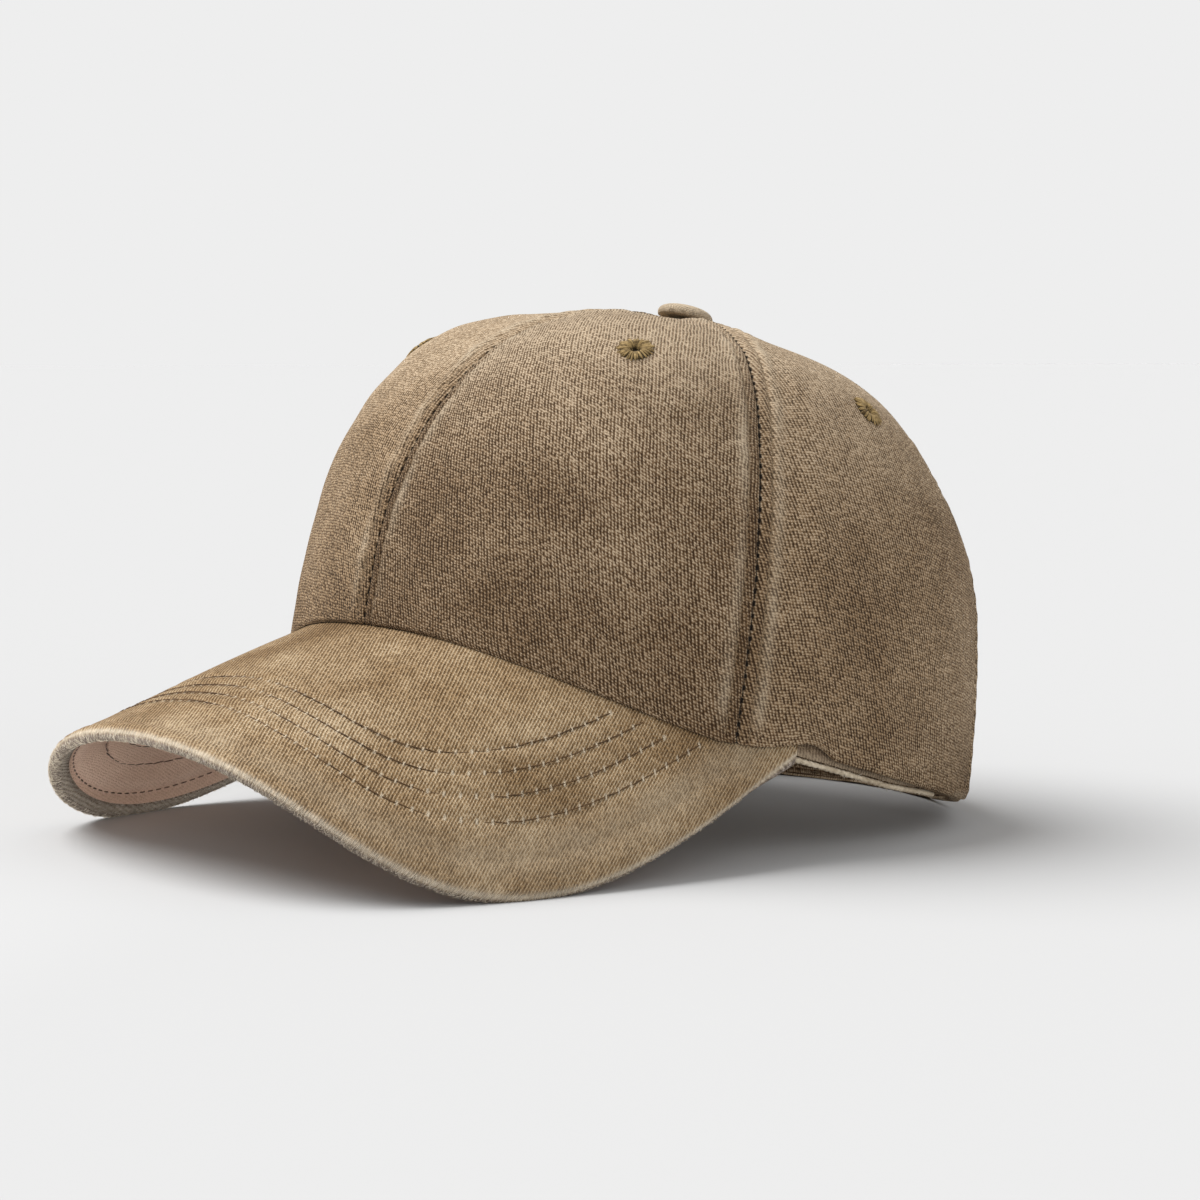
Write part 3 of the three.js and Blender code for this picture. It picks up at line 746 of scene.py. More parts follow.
def seamRelief(gap, run, seed):
    # pressed open seam: a groove, two rows of stitches and a rubbed ridge outside them
    random = np.random.default_rng(seed)
    phase = random.uniform(0, 6.3, 3)
    groove = -0.42 * hump(gap, 0, 0.42) - 0.22 * hump(gap, 0, 1.4)
    row = -0.30 * hump(gap, panelFinish["stitchRow"], 0.45)
    ridge = 0.36 * hump(gap, 4.9, 1.2) + 0.12 * hump(gap, 2.1, 0.9)
    pucker = 0.13 * np.sin(run * 2 * math.pi / 8.3 + phase[0]) + 0.10 * np.sin(run * 2 * math.pi / 13.7 + phase[1])
    return groove + row + ridge + pucker * hump(gap, 5.2, 3.6)


def valleyDepth(name, across, share):
    # the shallow valley along each seam, and the hollow below the button
    between = np.maximum(0, np.sin(math.pi * across))
    valley = smooth(share, 0.18, 0.45) * (1 - smooth(share, 0.7, 0.97))
    slump = smooth(share, 0.6, 0.85) * (1 - smooth(share, 0.92, 1))
    return capSize["seamValley"] * valley * (1 - between ** 0.7) + capSize["slump"][name] * slump * between ** 1.3


seamTop = 0.985  # the share of the way up at which the seams' lines stop
openingSideTop = float(backPanelStart(0.0)[0])  # where the back seam comes out into the opening


def hemLine():
    # the edge of the opening, up one side and over to the middle of the back
    shares = np.linspace(0, openingSideTop, 90)
    beside = crownAt(sidePanelEnd(shares), shares)
    across = np.linspace(0, 1, 60)
    shares = backPanelStart(across)
    seam = backSeamAt(shares)
    return np.concatenate([beside, crownAt(seam + (math.pi - seam) * across, shares)[1:]]), float(shares[-1])


openingEdge, openingTop = hemLine()
sideLine = crownAt(math.radians(capSize["sideSeam"]), np.linspace(0, seamTop, 190))
upperShares = np.linspace(openingSideTop, seamTop, 110)
backLine = crownAt(backSeamAt(upperShares), upperShares)
seamLines = {
    "front": [crownAt(0.0, np.linspace(0, seamTop, 190)), sideLine],
    "side": [sideLine, backLine],
    "back": [backLine, crownAt(math.pi, np.linspace(openingTop, seamTop, 90))],
}


def panelColumns(widths, columns):
    # places across each row in millimetres, close together beside both seams
    half = widths[:, None] / 2
    zone = np.minimum(panelFinish["denseZone"], 0.62 * half)
    near = seamPlaces[None, :] * zone / panelFinish["denseZone"]
    steps = np.linspace(0, 1, columns // 2 - len(seamPlaces) + 1)[1:]
    left = np.concatenate([near, zone + (half - zone) * steps[None, :]], axis=1)
    return np.concatenate([left, widths[:, None] - left[:, -2::-1]], axis=1)


def panelLayout(name):
    # azimuth and share of the way up at every place of a panel's cloth
    rows = panelFinish["rows"]
    ups = np.concatenate([np.linspace(0, 0.045, 14), np.linspace(0.045, 1, rows - 13)[1:]])
    fractions = np.linspace(0, 1, 33)
    if name == "back":
        starts = backPanelStart(fractions)
        shares = starts[None, :] + (1 - starts[None, :]) * ups[:, None]
        first, last = backSeamAt(shares), math.pi
    else:
        shares = np.repeat(ups[:, None], len(fractions), axis=1)
        sideSeam = math.radians(capSize["sideSeam"])
        first, last = (0, sideSeam) if name == "front" else (sideSeam, sidePanelEnd(ups)[:, None])
    azimuths = first + (last - first) * np.broadcast_to(fractions, shares.shape)
    shares = shares * (1 - panelFinish["buttonHole"] / crownLength(azimuths))
    steps = np.linalg.norm(np.diff(crownAt(azimuths, shares), axis=1), axis=-1)
    runs = np.concatenate([np.zeros((len(ups), 1)), np.cumsum(steps, axis=1)], axis=1)
    places = panelColumns(runs[:, -1] - 2 * panelFinish["seamGap"], panelFinish["columns"])
    places = places + panelFinish["seamGap"]
    azimuth = np.array([np.interp(place, run, line) for place, run, line in zip(places, runs, azimuths)])
    share = np.array([np.interp(place, run, line) for place, run, line in zip(places, runs, shares)])
    return azimuth, share, places, runs[:, -1:]


def eyeletSpot(name):
    azimuth = math.radians(panelFinish["eyeletAzimuths"][name])
    return azimuth, 1 - panelFinish["eyeletDistance"][name] / float(crownLength(azimuth))


def makePanel(name, side):
    word = "left" if side > 0 else "right"
    mirror = np.array([side, 1, 1])
    azimuth, share, places, widths = panelLayout(name)
    rows, width = azimuth.shape
    v = share * crownLength(azimuth)
    plain = crownAt(azimuth, share)
    normal = crownNormal(azimuth, share)
    across = places / widths
    if name == "side":  # the valley belongs to the seams, and the opening's free edge stays full
        sideSeam = math.radians(capSize["sideSeam"])
        across = np.clip((azimuth - sideSeam) / (backSeamAt(share) - sideSeam), 0, 1)
    base = plain - normal * valleyDepth(name, across, share)[..., None]

    flat = plain.reshape(-1, 3)
    gaps, seamRuns = zip(*([grid.reshape(rows, width) for grid in nearLine(flat, line)] for line in seamLines[name]))
    seamGap = np.minimum(*gaps)
    seamRun = np.where(gaps[0] < gaps[1], *seamRuns)
    seed = 7 if side > 0 else 3
    relief = sum(seamRelief(gap, run, number + seed) for number, (gap, run) in enumerate(zip(gaps, seamRuns)))
    hemGap = np.full((rows, width), 99.0)
    if name != "front":
        hemGap, hemRun = (grid.reshape(rows, width) for grid in nearLine(flat, openingEdge))
        fold = 0.45 * (1 - smooth(hemGap, 2.2, 3.0)) * smooth(hemGap, -0.4, 0.8)
        ditch = -0.30 * hump(hemGap, panelFinish["hem"], 0.5)
        ripple = 0.18 * np.sin(hemRun * 2 * math.pi / 5.2) * hump(hemGap, 3.2, 2.6)
        relief = relief * smooth(hemGap, 0, 3) + fold + ditch + ripple
    world = plain * mirror
    relief = relief * smooth(v, -2, 4) - 0.5 * hump(v, 0, 0.7)
    relief = relief + panelFinish["softness"] * softWaves(world, 46, 11) * smooth(seamGap, 3, 16)
    relief = relief + 0.13 * softWaves(world, 15, 12) * smooth(v, 4, 20)
    relief = relief * (1 - 0.75 * smooth(share, 0.93, 0.985))

    # the lower edge lies on the peak
    corner = math.radians(peakSize["corner"])
    near = 1 - smooth(azimuth, corner, corner + math.radians(8))
    lift = panelFinish["bottomGap"] * (1 - smooth(v, 0, 2))

    def laid(depth):
        points = base + normal * depth[..., None]
        ahead = np.maximum(0, peakLevel(points[..., 0], points[..., 1]) - rimLevel(azimuth))
        points[..., 2] += near * (1 - smooth(v, 0, 9)) * ahead + lift
        return points * mirror

    points, back = laid(relief), laid(np.full(v.shape, -capSize["clothWall"]))
    piece, row, column = layGrid(f"{name}_panel_{word}_cloth", width, rows)
    if side < 0:
        column = width - 1 - column
    placePoints(piece, toFrame(points)[row, column])
    start = {"front": 0.5, "side": 0.0, "back": 1.0}[name] * widths  # the cloth hangs straight from here
    layCut(piece, ((places - start) * side)[row, column], v[row, column])

    high = smooth(points[..., 2], 48, 104)
    # pale wear on the ridges beside the seams, plus painted top light: paler towards the top (high)
    wearAndPaintedLight = 0.85 * hump(seamGap, 5.0, 1.5) * (0.6 + 0.4 * softWaves(world, 22, 31)) * smooth(v, 2, 12) + 0.30 * high
    wearAndPaintedLight = wearAndPaintedLight + (0.55 * hump(hemGap, 1.0, 1.3) if name != "front" else 0)
    # painted shade: darker in the band beside each seam (partly unfaded dye there), towards the lower edge and in the
    # hem's ditch
    shade = 0.85 * (1 - smooth(seamGap, 2.9, 4.2)) * smooth(seamGap, 0.2, 1.0) * (1 - 0.5 * high)
    shade = shade + 0.45 * (1 - smooth(v, 2, 30)) + 0.4 * hump(hemGap, panelFinish["hem"] + 0.2, 0.6)
    note(piece, "wearAndPaintedLight", np.clip(wearAndPaintedLight, 0, 1.2)[row, column])
    note(piece, "shade", np.clip(shade, -1, 1)[row, column])
    note(piece, "seamGap", seamGap[row, column])
    note(piece, "seamRun", seamRun[row, column])
    middle = crownAt(*eyeletSpot(name))
    holeGap = np.linalg.norm(plain - middle, axis=-1)
    note(piece, "holeGap", holeGap[row, column])
    giveWall(piece, capSize["clothWall"], toFrame(back)[row, column])
    openEyelet(piece)
    pressFlat(piece)
    # the right front panel takes the paler copy of the twill: painted light
    cloth = {"side": sideTwill, "front": frontTwill if side > 0 else fadedTwill}.get(name, frontTwill)
    finishPiece(piece, cloth, f"{name}_panel_{word}")
    spot = np.unravel_index(np.argmin(holeGap), v.shape)
    centre = (base[spot] - plain[spot]) + middle + normal[spot] * float(relief[spot])
    eyelet = (centre * mirror, normal[spot] * mirror)
    return {"points": points, "normal": normal * mirror, "share": share, "eyelet": eyelet}


def openEyelet(piece):
    # cuts the eyelet's hole through both faces of the cloth and closes the cut
    mesh = bmesh.new()
    mesh.from_mesh(piece.data)
    layer = mesh.verts.layers.float["holeGap"]
    opening = panelFinish["eyeletOpening"]
    inside = [face for face in mesh.faces if all(vertex[layer] < opening for vertex in face.verts)]
    bmesh.ops.delete(mesh, geom=inside, context="FACES")
    rims = [edge for edge in mesh.edges if edge.is_boundary]
    bmesh.ops.bridge_loops(mesh, edges=rims)
    bmesh.ops.recalc_face_normals(mesh, faces=mesh.faces)
    mesh.to_mesh(piece.data)
    mesh.free()
    piece.data.attributes.remove(piece.data.attributes["holeGap"])


panels = {}
for panelName in ("front", "side", "back"):
    for panelWord, panelSide in (("left", 1), ("right", -1)):
        panels[panelName, panelWord] = makePanel(panelName, panelSide)
print("panels sewn")


# Rows of stitches in the crown
threadSize = {
    "seamLength": 2.3,
    "seamWidth": 0.42,
    "seamHeight": 0.34,
    "sunk": 0.06,
    "band": (2.2, 0.4, 0.3),  # length, width and height
    "strap": (2.3, 0.42, 0.32),
    "edge": (1.7, 0.5, 0.36),
}


def stitchPlaces(line, normals, pitch, start=0.5):
    spots, ahead, runs = walkAlong(line, pitch, start)
    return spots, ahead, unit(readAlong(runs, runsAlong(line), normals))


def joined(found):
    return (np.concatenate(parts) for parts in zip(*found))


def bothFaces(size):
    # how deep the stitches lie on the two faces of a strip, and which way each face looks
    return (size["depth"] + 0.16, 1), (size["depth"] + size["wall"] + 0.03, -1)


def sewCrown():
    rowStart, rowEnd = panelFinish["seamRows"]
    hemStart, hemEnd = panelFinish["openingRow"]
    found = []
    for (name, word), panel in panels.items():
        points, normal, share = panel["points"], panel["normal"], panel["share"]
        last = points.shape[1] - 1
        for column in (seamRowColumn, last - seamRowColumn):
            keep = (share[:, column] < rowEnd) & (share[:, column] > rowStart)
            if name == "side" and column > seamRowColumn:
                keep &= share[:, column] > openingSideTop + panelFinish["seamAboveOpening"]
            if name == "back":
                keep &= np.arange(len(share)) > hemRow + 1
            found.append(stitchPlaces(points[keep, column], normal[keep, column], stitchPitch["seam"]))
        if name == "side":
            keep = (share[:, last] < openingSideTop - hemEnd) & (share[:, last] > hemStart)
            column = last - hemRowColumn
            found.append(stitchPlaces(points[keep, column], normal[keep, column], stitchPitch["hem"]))
        if name == "back":
            inner = slice(4, last - 3)
            found.append(stitchPlaces(points[hemRow, inner], normal[hemRow, inner], stitchPitch["hem"]))
    spots, ahead, outward = joined(found)
    random = np.random.default_rng(5)
    lengths = threadSize["seamLength"] * random.uniform(0.85, 1.1, len(spots))
    piece = copyShape("crown_stitches", spots - outward * threadSize["sunk"], ahead, outward, lengths,
                      threadSize["seamWidth"], threadSize["seamHeight"], seed=6)
    finishPiece(piece, seamThread, angle=80)


sewCrown()
print("crown stitched")


# Eyelets: a ring of threads sewn over the edge of the hole
eyeletSize = {"radius": 4.4, "hole": 0.95, "threads": 46, "proud": 0.62, "threadWidth": 0.52}


def ringSection(radius):
    # height of the thread over the cloth, by distance from the hole's middle
    share = (radius - eyeletSize["hole"]) / (eyeletSize["radius"] - eyeletSize["hole"])
    arch = np.maximum(0, np.sin(math.pi * np.clip(share, 0, 1) ** 0.75)) ** 0.7
    return eyeletSize["proud"] * arch - 0.9 * (1 - smooth(share, 0, 0.22))


def makeEyelet(name, word):
    centre, outward = panels[name, word]["eyelet"]
    ahead = unit(np.cross([0.0, 0.0, 1.0], outward))
    above = unit(np.cross(outward, ahead))
    random = np.random.default_rng(sum(map(ord, name + word)))
    steps = 64
    piece, row, column = layGrid(f"eyelet_{name}_{word}_ring", steps + 1, 17)
    around = column / steps * 2 * math.pi
    turn = row / 16 * 2 * math.pi
    middle = (eyeletSize["radius"] + eyeletSize["hole"]) / 2
    half = (eyeletSize["radius"] - eyeletSize["hole"]) / 2 - 0.25
    radius = middle - half * np.cos(turn)
    height = np.where(np.sin(turn) > 0, ringSection(radius) - 0.22, -1.5 * np.abs(np.sin(turn)) ** 0.6 - 0.25)
    flat = np.cos(around)[:, None] * ahead + np.sin(around)[:, None] * above
    placePoints(piece, toFrame(centre + flat * radius[:, None] + outward * height[:, None]))
    closePiece(piece)
    # the ring's dark lining of the hole is painted shade
    finishPiece(piece, eyeletHoleShade, f"eyelet_{name}_{word}")

    count = eyeletSize["threads"]
    angles = np.linspace(0, 2 * math.pi, count, endpoint=False) + random.uniform(-0.05, 0.05, count)
    spots = stitchShape[0]
    outer = eyeletSize["radius"] + random.uniform(-0.35, 0.55, count)
    inner = eyeletSize["hole"] + random.uniform(0.15, 0.6, count)
    along = spots[:, 0] + 0.5
    copies = []
    for index, angle in enumerate(angles):
        lean = random.uniform(-0.10, 0.10)
        r = inner[index] + (outer[index] - inner[index]) * along
        thick = eyeletSize["threadWidth"] * (0.35 + 0.65 * smooth(r, 0.8, 3.4)) * random.uniform(0.85, 1.1)
        spread = angle + lean * along
        flat = np.cos(spread)[:, None] * ahead + np.sin(spread)[:, None] * above
        beside = -np.sin(spread)[:, None] * ahead + np.cos(spread)[:, None] * above
        height = ringSection(r) + spots[:, 2] * thick * 1.1 + random.uniform(-0.06, 0.06)
        points = centre + flat * r[:, None] + beside * (spots[:, 1] * thick)[:, None]
        copies.append(points + outward * height[:, None])
    threads = makeCopies(f"eyelet_{name}_{word}_threads", np.array(copies))
    note(threads, "tint", np.repeat(random.uniform(0, 1, count), len(spots)))
    finishPiece(threads, eyeletThread, angle=80)


for eyeletName, eyeletWord in panels:
    makeEyelet(eyeletName, eyeletWord)
print("eyelets sewn")


# Covered button
buttonSize = {"radius": 7.6, "height": 3.8, "gap": 0.3, "edgeShare": 0.25, "round": 0.85, "gathers": 17}


def makeButton():
    bpy.ops.object.select_all(action="DESELECT")
    bpy.ops.mesh.primitive_uv_sphere_add(segments=120, ring_count=60, radius=1)
    piece = bpy.context.object
    piece.name = piece.data.name = "top_button_cover"
    spots = readPoints(piece).astype(float)
    around = np.arctan2(spots[:, 1], spots[:, 0])
    down = np.degrees(np.arccos(np.clip(spots[:, 2], -1, 1)))  # 0 on top, 180 below
    size = buttonSize
    radius, height = size["radius"], size["height"]
    rise = np.sin(np.radians(90 - np.minimum(down, 90)))
    domeRadius = radius * np.maximum(0, np.cos(np.radians(90 - np.minimum(down, 90)))) ** size["round"]
    domeHeight = size["gap"] + height * (size["edgeShare"] + (1 - size["edgeShare"]) * rise ** size["round"])
    below = [90, 104, 118, 128, 140, 152, 165, 180]
    belowRadius = np.interp(down, below, [radius, radius * 0.975, radius * 0.90, radius * 0.72, 2.4, 1.9, 1.9, 0.0])
    edge = size["gap"] + height * size["edgeShare"]
    belowHeight = np.interp(down, below, [edge, 0.62, 0.30, 0.28, 0.26, -0.4, -1.6, -1.6])
    r = np.where(down <= 90, domeRadius, belowRadius)
    z = np.where(down <= 90, domeHeight, belowHeight)
    gather = np.sin(around * size["gathers"] + 1.3 * np.sin(around * 3 + 0.5)) * hump(down, 106, 24)
    r = r + 0.16 * gather
    z = z - 0.10 * gather + 0.10 * np.sin(around * 2 + 0.6) * hump(down, 60, 30)
    z = z + capSize["crownHeight"] + capSize["apexRise"]
    points = np.stack([r * np.cos(around), r * np.sin(around) - capSize["buttonAhead"], z], axis=1)
    placePoints(piece, toFrame(points))
    arc = np.radians(np.minimum(down, 150)) * radius * 0.82
    layCut(piece, arc * np.cos(around), arc * np.sin(around))
    patch = softWaves(points, 7, 44)
    note(piece, "wearAndPaintedLight", np.clip(0.62 * hump(down, 40, 50) + 0.25 * hump(down, 84, 9) + 0.15 * patch, 0, 1.1))
    # painted shade: the button's underside darker
    note(piece, "shade", np.clip(0.9 * smooth(down, 92, 112), 0, 1))
    finishPiece(piece, buttonTwill, "top_button")


makeButton()
print("button covered")


# Inside band, its edging and the closing strap
bandSize = {"height": 28, "wall": 1.2, "depth": 2.1, "end": 112, "dropFront": 2.6, "dropSide": 0.8, "liftEnd": 0.6,
            "edgingRadius": 0.7, "edgingGap": 0.3, "edgingTurn": 3.6}
strapSize = {"start": 113.5, "low": 1.0, "high": 25.0, "depth": 2.1, "wall": 1.8, "edge": 2.2}


def bandDrop(azimuth):
    turned = np.degrees(np.abs(azimuth))
    front = 1 - smooth(turned, peakSize["corner"] - 12, peakSize["corner"])
    end = smooth(turned, bandSize["end"] - 16, bandSize["end"])
    side, ahead = bandSize["dropSide"], bandSize["dropFront"]
    return side + (ahead - side) * front - (side + bandSize["liftEnd"]) * end


def makeBand():
    columns, rows = 420, 30
    piece, row, column = layGrid("sweatband_cloth", columns, rows)
    azimuths = np.radians(np.linspace(-bandSize["end"], bandSize["end"], columns))
    low = -bandDrop(azimuths)
    ups = (1 - np.cos(np.linspace(0, math.pi, rows))) / 2
    distance = low[None, :] + (bandSize["height"] - low[None, :]) * ups[:, None]
    azimuth = np.broadcast_to(azimuths, distance.shape)
    run = runsAlong(wallAt(azimuths, 2.0, 2.1))
    lowGap, highGap = distance - low[None, :], bandSize["height"] - distance
    relief = 0.16 * hump(lowGap, 0.8, 0.9) - 0.22 * hump(lowGap, 2.4, 0.4) - 0.2 * hump(highGap, 2.2, 0.4)
    relief = relief + 0.10 * np.sin(run[None, :] / 3.1) * hump(lowGap, 3, 3)
    points = wallAt(azimuth, distance, bandSize["depth"] - np.clip(relief, -0.4, 0.3))
    placePoints(piece, toFrame(points)[row, column])
    layCut(piece, run[column], distance[row, column])
    note(piece, "wearAndPaintedLight", (0.75 * hump(lowGap, 0.5, 1.0) + 0.3 * hump(highGap, 0.5, 1.0))[row, column])
    # painted shade: darker in the ditch of the lower stitches and further up inside the crown
    note(piece, "shade", (0.4 * hump(lowGap, 2.4, 0.6) + 0.5 * smooth(distance, 4, 14))[row, column])
    giveWall(piece, bandSize["wall"])
    pressFlat(piece)
    finishPiece(piece, bandCloth, "sweatband")
    found = []
    for distance in (-bandDrop(azimuths) + 2.4, np.full(columns, bandSize["height"] - 2.2)):
        for depth, way in bothFaces(bandSize):
            line = wallAt(azimuths, distance, depth)
            share = np.maximum(0, distance) / crownLength(azimuths)
            found.append(stitchPlaces(line, crownNormal(azimuths, share) * way, stitchPitch["strap"]))
    spots, ahead, outward = joined(found)
    piece = copyShape("band_stitches", spots, ahead, outward, *threadSize["band"], seed=8)
    finishPiece(piece, seamThread, angle=80)


def makeEdging():
    # two strands twisted round each other
    azimuths = np.radians(np.linspace(-bandSize["end"], bandSize["end"], 500))
    middle = bandSize["depth"] + bandSize["wall"] / 2
    radius = bandSize["edgingRadius"]
    path = wallAt(azimuths, -bandDrop(azimuths) - bandSize["edgingGap"] - radius, middle)
    runs = runsAlong(path)
    rows, columns = 1080, 13
    places = np.linspace(0, runs[-1], rows)
    line = readAlong(places, runs, path)
    ahead = unit(np.gradient(line, axis=0))
    outward = crownNormal(np.interp(places, runs, azimuths), 0.004)
    outward = unit(outward - ahead * np.sum(outward * ahead, axis=1, keepdims=True))
    upward = np.cross(ahead, outward)
    piece, row, column = layGrid("rim_piping_twist", columns, rows)
    angle = column / (columns - 1) * 2 * math.pi
    turned = angle - places[row] * 2 * math.pi / bandSize["edgingTurn"]
    reach = radius * (0.70 + 0.36 * np.abs(np.cos(turned)) ** 0.8) * (1 + 0.08 * softWaves(line, 5, 51)[row])
    spread = np.cos(angle)[:, None] * outward[row] + np.sin(angle)[:, None] * upward[row]
    points = line[row] + spread * reach[:, None]
    placePoints(piece, toFrame(points))
    note(piece, "tint", 0.5 + 0.5 * softWaves(line, 9, 52)[row])
    closePiece(piece)
    pressFlat(piece)
    finishPiece(piece, pipingThread, "rim_piping")
    random = np.random.default_rng(53)
    count = 520
    picks = random.integers(4, rows - 4, count)
    ways = unit(ahead[picks] * random.uniform(-1, 1, (count, 1))
                + outward[picks] * random.uniform(-0.1, 1, (count, 1))
                + upward[picks] * random.uniform(-0.7, 0.7, (count, 1)))
    lengths = random.uniform(0.7, 2.0, count)
    spots = line[picks] + ways * (lengths / 2 + 0.3 * radius)[:, None]
    fibres = copyShape("piping_fibres", spots, ways, upward[picks], lengths, 0.10, 0.10, seed=54,
                       bend=random.uniform(-0.2, 0.2, count))
    pressFlat(fibres)
    finishPiece(fibres, looseThread, angle=80)


def makeStrap():
    columns, rows = 320, 34
    piece, row, column = layGrid("closing_strap_cloth", columns, rows)
    azimuths = np.radians(np.linspace(strapSize["start"], 360 - strapSize["start"], columns))
    ups = (1 - np.cos(np.linspace(0, math.pi, rows))) / 2
    distance = strapSize["low"] + (strapSize["high"] - strapSize["low"]) * ups
    azimuth, distance = np.meshgrid(azimuths, distance)
    run = runsAlong(wallAt(azimuths, 10.0, 2.1))
    gap = np.minimum(distance - strapSize["low"], strapSize["high"] - distance)
    relief = -0.24 * hump(gap, strapSize["edge"], 0.45) + 0.14 * hump(gap, 0.9, 0.8) - 0.35 * hump(gap, 0, 0.35)
    relief = relief + 0.10 * np.sin(run[None, :] / 2.7 + 1) * hump(gap, 2.8, 2.2)
    place = wallAt(azimuth, distance, strapSize["depth"])
    relief = relief + 0.12 * softWaves(place, 24, 61) * smooth(gap, 2, 7)
    placePoints(piece, toFrame(wallAt(azimuth, distance, strapSize["depth"] - relief))[row, column])
    layCut(piece, run[column], distance[row, column])
    note(piece, "wearAndPaintedLight", (0.5 * hump(gap, 0.6, 0.9) + 0.15 * hump(gap, 3.8, 1.0))[row, column])
    # painted shade in the ditch of each row of stitches
    note(piece, "shade", (0.5 * hump(gap, strapSize["edge"], 0.6))[row, column])
    giveWall(piece, strapSize["wall"])
    pressFlat(piece)
    finishPiece(piece, strapTwill, "closing_strap")
    found = []
    for height in (strapSize["low"] + strapSize["edge"], strapSize["high"] - strapSize["edge"]):
        outward = crownNormal(azimuths, height / crownLength(azimuths))
        for depth, way in bothFaces(strapSize):
            found.append(stitchPlaces(wallAt(azimuths, height, depth), outward * way, stitchPitch["strap"]))
    spots, ahead, outward = joined(found)
    piece = copyShape("strap_stitches", spots, ahead, outward, *threadSize["strap"], seed=9)
    finishPiece(piece, seamThread, angle=80)


makeBand()
makeEdging()
makeStrap()
print("band, edging and strap made")


# Peak
def peakPlan(along, across):
    corner = math.radians(peakSize["corner"])
    innerX, innerY = ringPoint(along * corner, peakSize["tuck"])
    rootX, rootY = (float(value) for value in ringPoint(corner))
    front = -capSize["rimHalfLength"] - peakSize["reach"]
    pegs = [(rootX, rootY), (rootX + peakSize["sideFlare"], rootY - peakSize["sideReach"]),
            (peakSize["frontFlat"], front), (0, front)]
    share = 1 - np.abs(along)
    weights = [(1 - share) ** 3, 3 * share * (1 - share) ** 2, 3 * share ** 2 * (1 - share), share ** 3]
    outerX = sum(weight * peg[0] for weight, peg in zip(weights, pegs)) * np.where(along < 0, -1, 1)
    outerY = sum(weight * peg[1] for weight, peg in zip(weights, pegs))
    width = np.hypot(outerX - innerX, outerY - innerY)
    return innerX + (outerX - innerX) * across, innerY + (outerY - innerY) * across, width


def peakPoint(along, across, depth):
    x, y, width = peakPlan(along, across)
    away = smooth(across * width, 0, 9)[..., None]
    down = peakNormal(x, y) * away + np.array([0, 0, 1.0]) * (1 - away)
    return np.stack([x, y, peakLevel(x, y)], axis=-1) - down * np.asarray(depth)[..., None]


peakFinish = {
    "columns": 300,
    "topRows": 84,
    "softness": 0.24,
    "rows": (10.2, 14.3, 18.5, 22.9),  # millimetres from the peak's edge to each row of stitches
    "rowsBow": 6.6,  # and how much further at the front
    "channel": 0.26,
    "stitchLength": 3.35,
    "stitchWidth": 0.38,
    "stitchHeight": 0.34,
    "edgeRow": 1.0,  # from the rolled edge to the stitches under it
    "paling": (5.4, 3.4),  # where the cloth is rubbed pale beside the rolled edge, and how wide
}

edgePlan = np.stack(peakPlan(np.linspace(-1, 1, 301), 1.0)[:2], axis=1)
edgeLength = float(np.linalg.norm(np.diff(edgePlan, axis=0), axis=1).sum())


def edgeReading(plan):
    # distance in from the peak's edge, and how much further the rows lie at that place
    gap, run = nearLine(plan.reshape(-1, 2), edgePlan)
    turn = np.abs(2 * run / edgeLength - 1)
    bow = peakFinish["rowsBow"] * (1 - smooth(turn, 0, 0.5))
    return gap.reshape(plan.shape[:-1]), bow.reshape(plan.shape[:-1])


rollTable = {
    "bend": (0, 0.12, 0.3, 0.5, 0.7, 0.88, 1),
    "inward": (1, 0.42, 0.08, 0, 0.08, 0.42, 1),
    "down": (0, 0.03, 0.22, 0.5, 0.8, 0.99, 0.9),
}


def placesAlong(count):
    # from one corner of the peak to the other, closer together towards the corners
    along = np.linspace(-1, 1, count)
    return np.sign(along) * np.abs(along) ** 0.85


def rollShape(bend):
    # how far in and how far down the rolled edge lies, at a share of the way round it
    return (np.interp(bend, rollTable["bend"], rollTable[way]) for way in ("inward", "down"))


def rollShare(width):
    # the rolled edge as a share of the peak's width, which narrows to nothing at its corners
    return np.minimum(peakSize["rollWidth"], 0.6 * width) / width


def findRows():
    along = np.linspace(-0.985, 0.985, 221)
    across = np.linspace(0.02, 1, 160)
    x, y, width = peakPlan(along[:, None], across[None, :])
    gap, bow = edgeReading(np.stack([x, y], axis=-1))
    rows = []
    for distance in peakFinish["rows"]:
        excess = distance + bow - gap  # rises above zero towards the edge
        found = []
        for index in range(len(along)):
            place = crossing(excess[index], across)
            if 0.02 < place < 0.999 and place * width[index, 0] > peakSize["tuck"] + 0.6:
                found.append([float(value) for value in peakPlan(along[index], place)[:2]])
        rows.append(np.array(found))
    return rows


peakRows = findRows()


def rowReading(plan):
    # distance to the nearest row of stitches, and how far along that row
    best, along = np.full(len(plan), 99.0), np.zeros(len(plan))
    for line in peakRows:
        gap, run = nearLine(plan, line)
        closer = gap < best
        best[closer] = gap[closer]
        along[closer] = np.interp(run[closer], runsAlong(line), runsAlong(onPeak(line, 0.0)))
    return best, along


def onPeak(plan, depth):
    x, y = plan[..., 0], plan[..., 1]
    return np.stack([x, y, peakLevel(x, y)], axis=-1) - peakNormal(x, y) * np.asarray(depth)[..., None]


def peakCut(x, y):
    # the flat cut of the peak's cloth
    spots = np.linspace(0, 110, 441)
    slope = 2 * peakSize["archRound"] * spots / peakSize["archSpan"] ** 2
    slope = slope + 4 * peakSize["archEdge"] * spots ** 3 / peakSize["archSpan"] ** 4
    steps = np.sqrt(1 + slope ** 2) * (spots[1] - spots[0])
    arc = np.concatenate([[0], np.cumsum(steps[:-1])])
    ahead = (y + capSize["rimHalfLength"]) / math.cos(math.radians(peakSize["pitch"]))
    return np.sign(x) * np.interp(np.abs(x), spots, arc), ahead


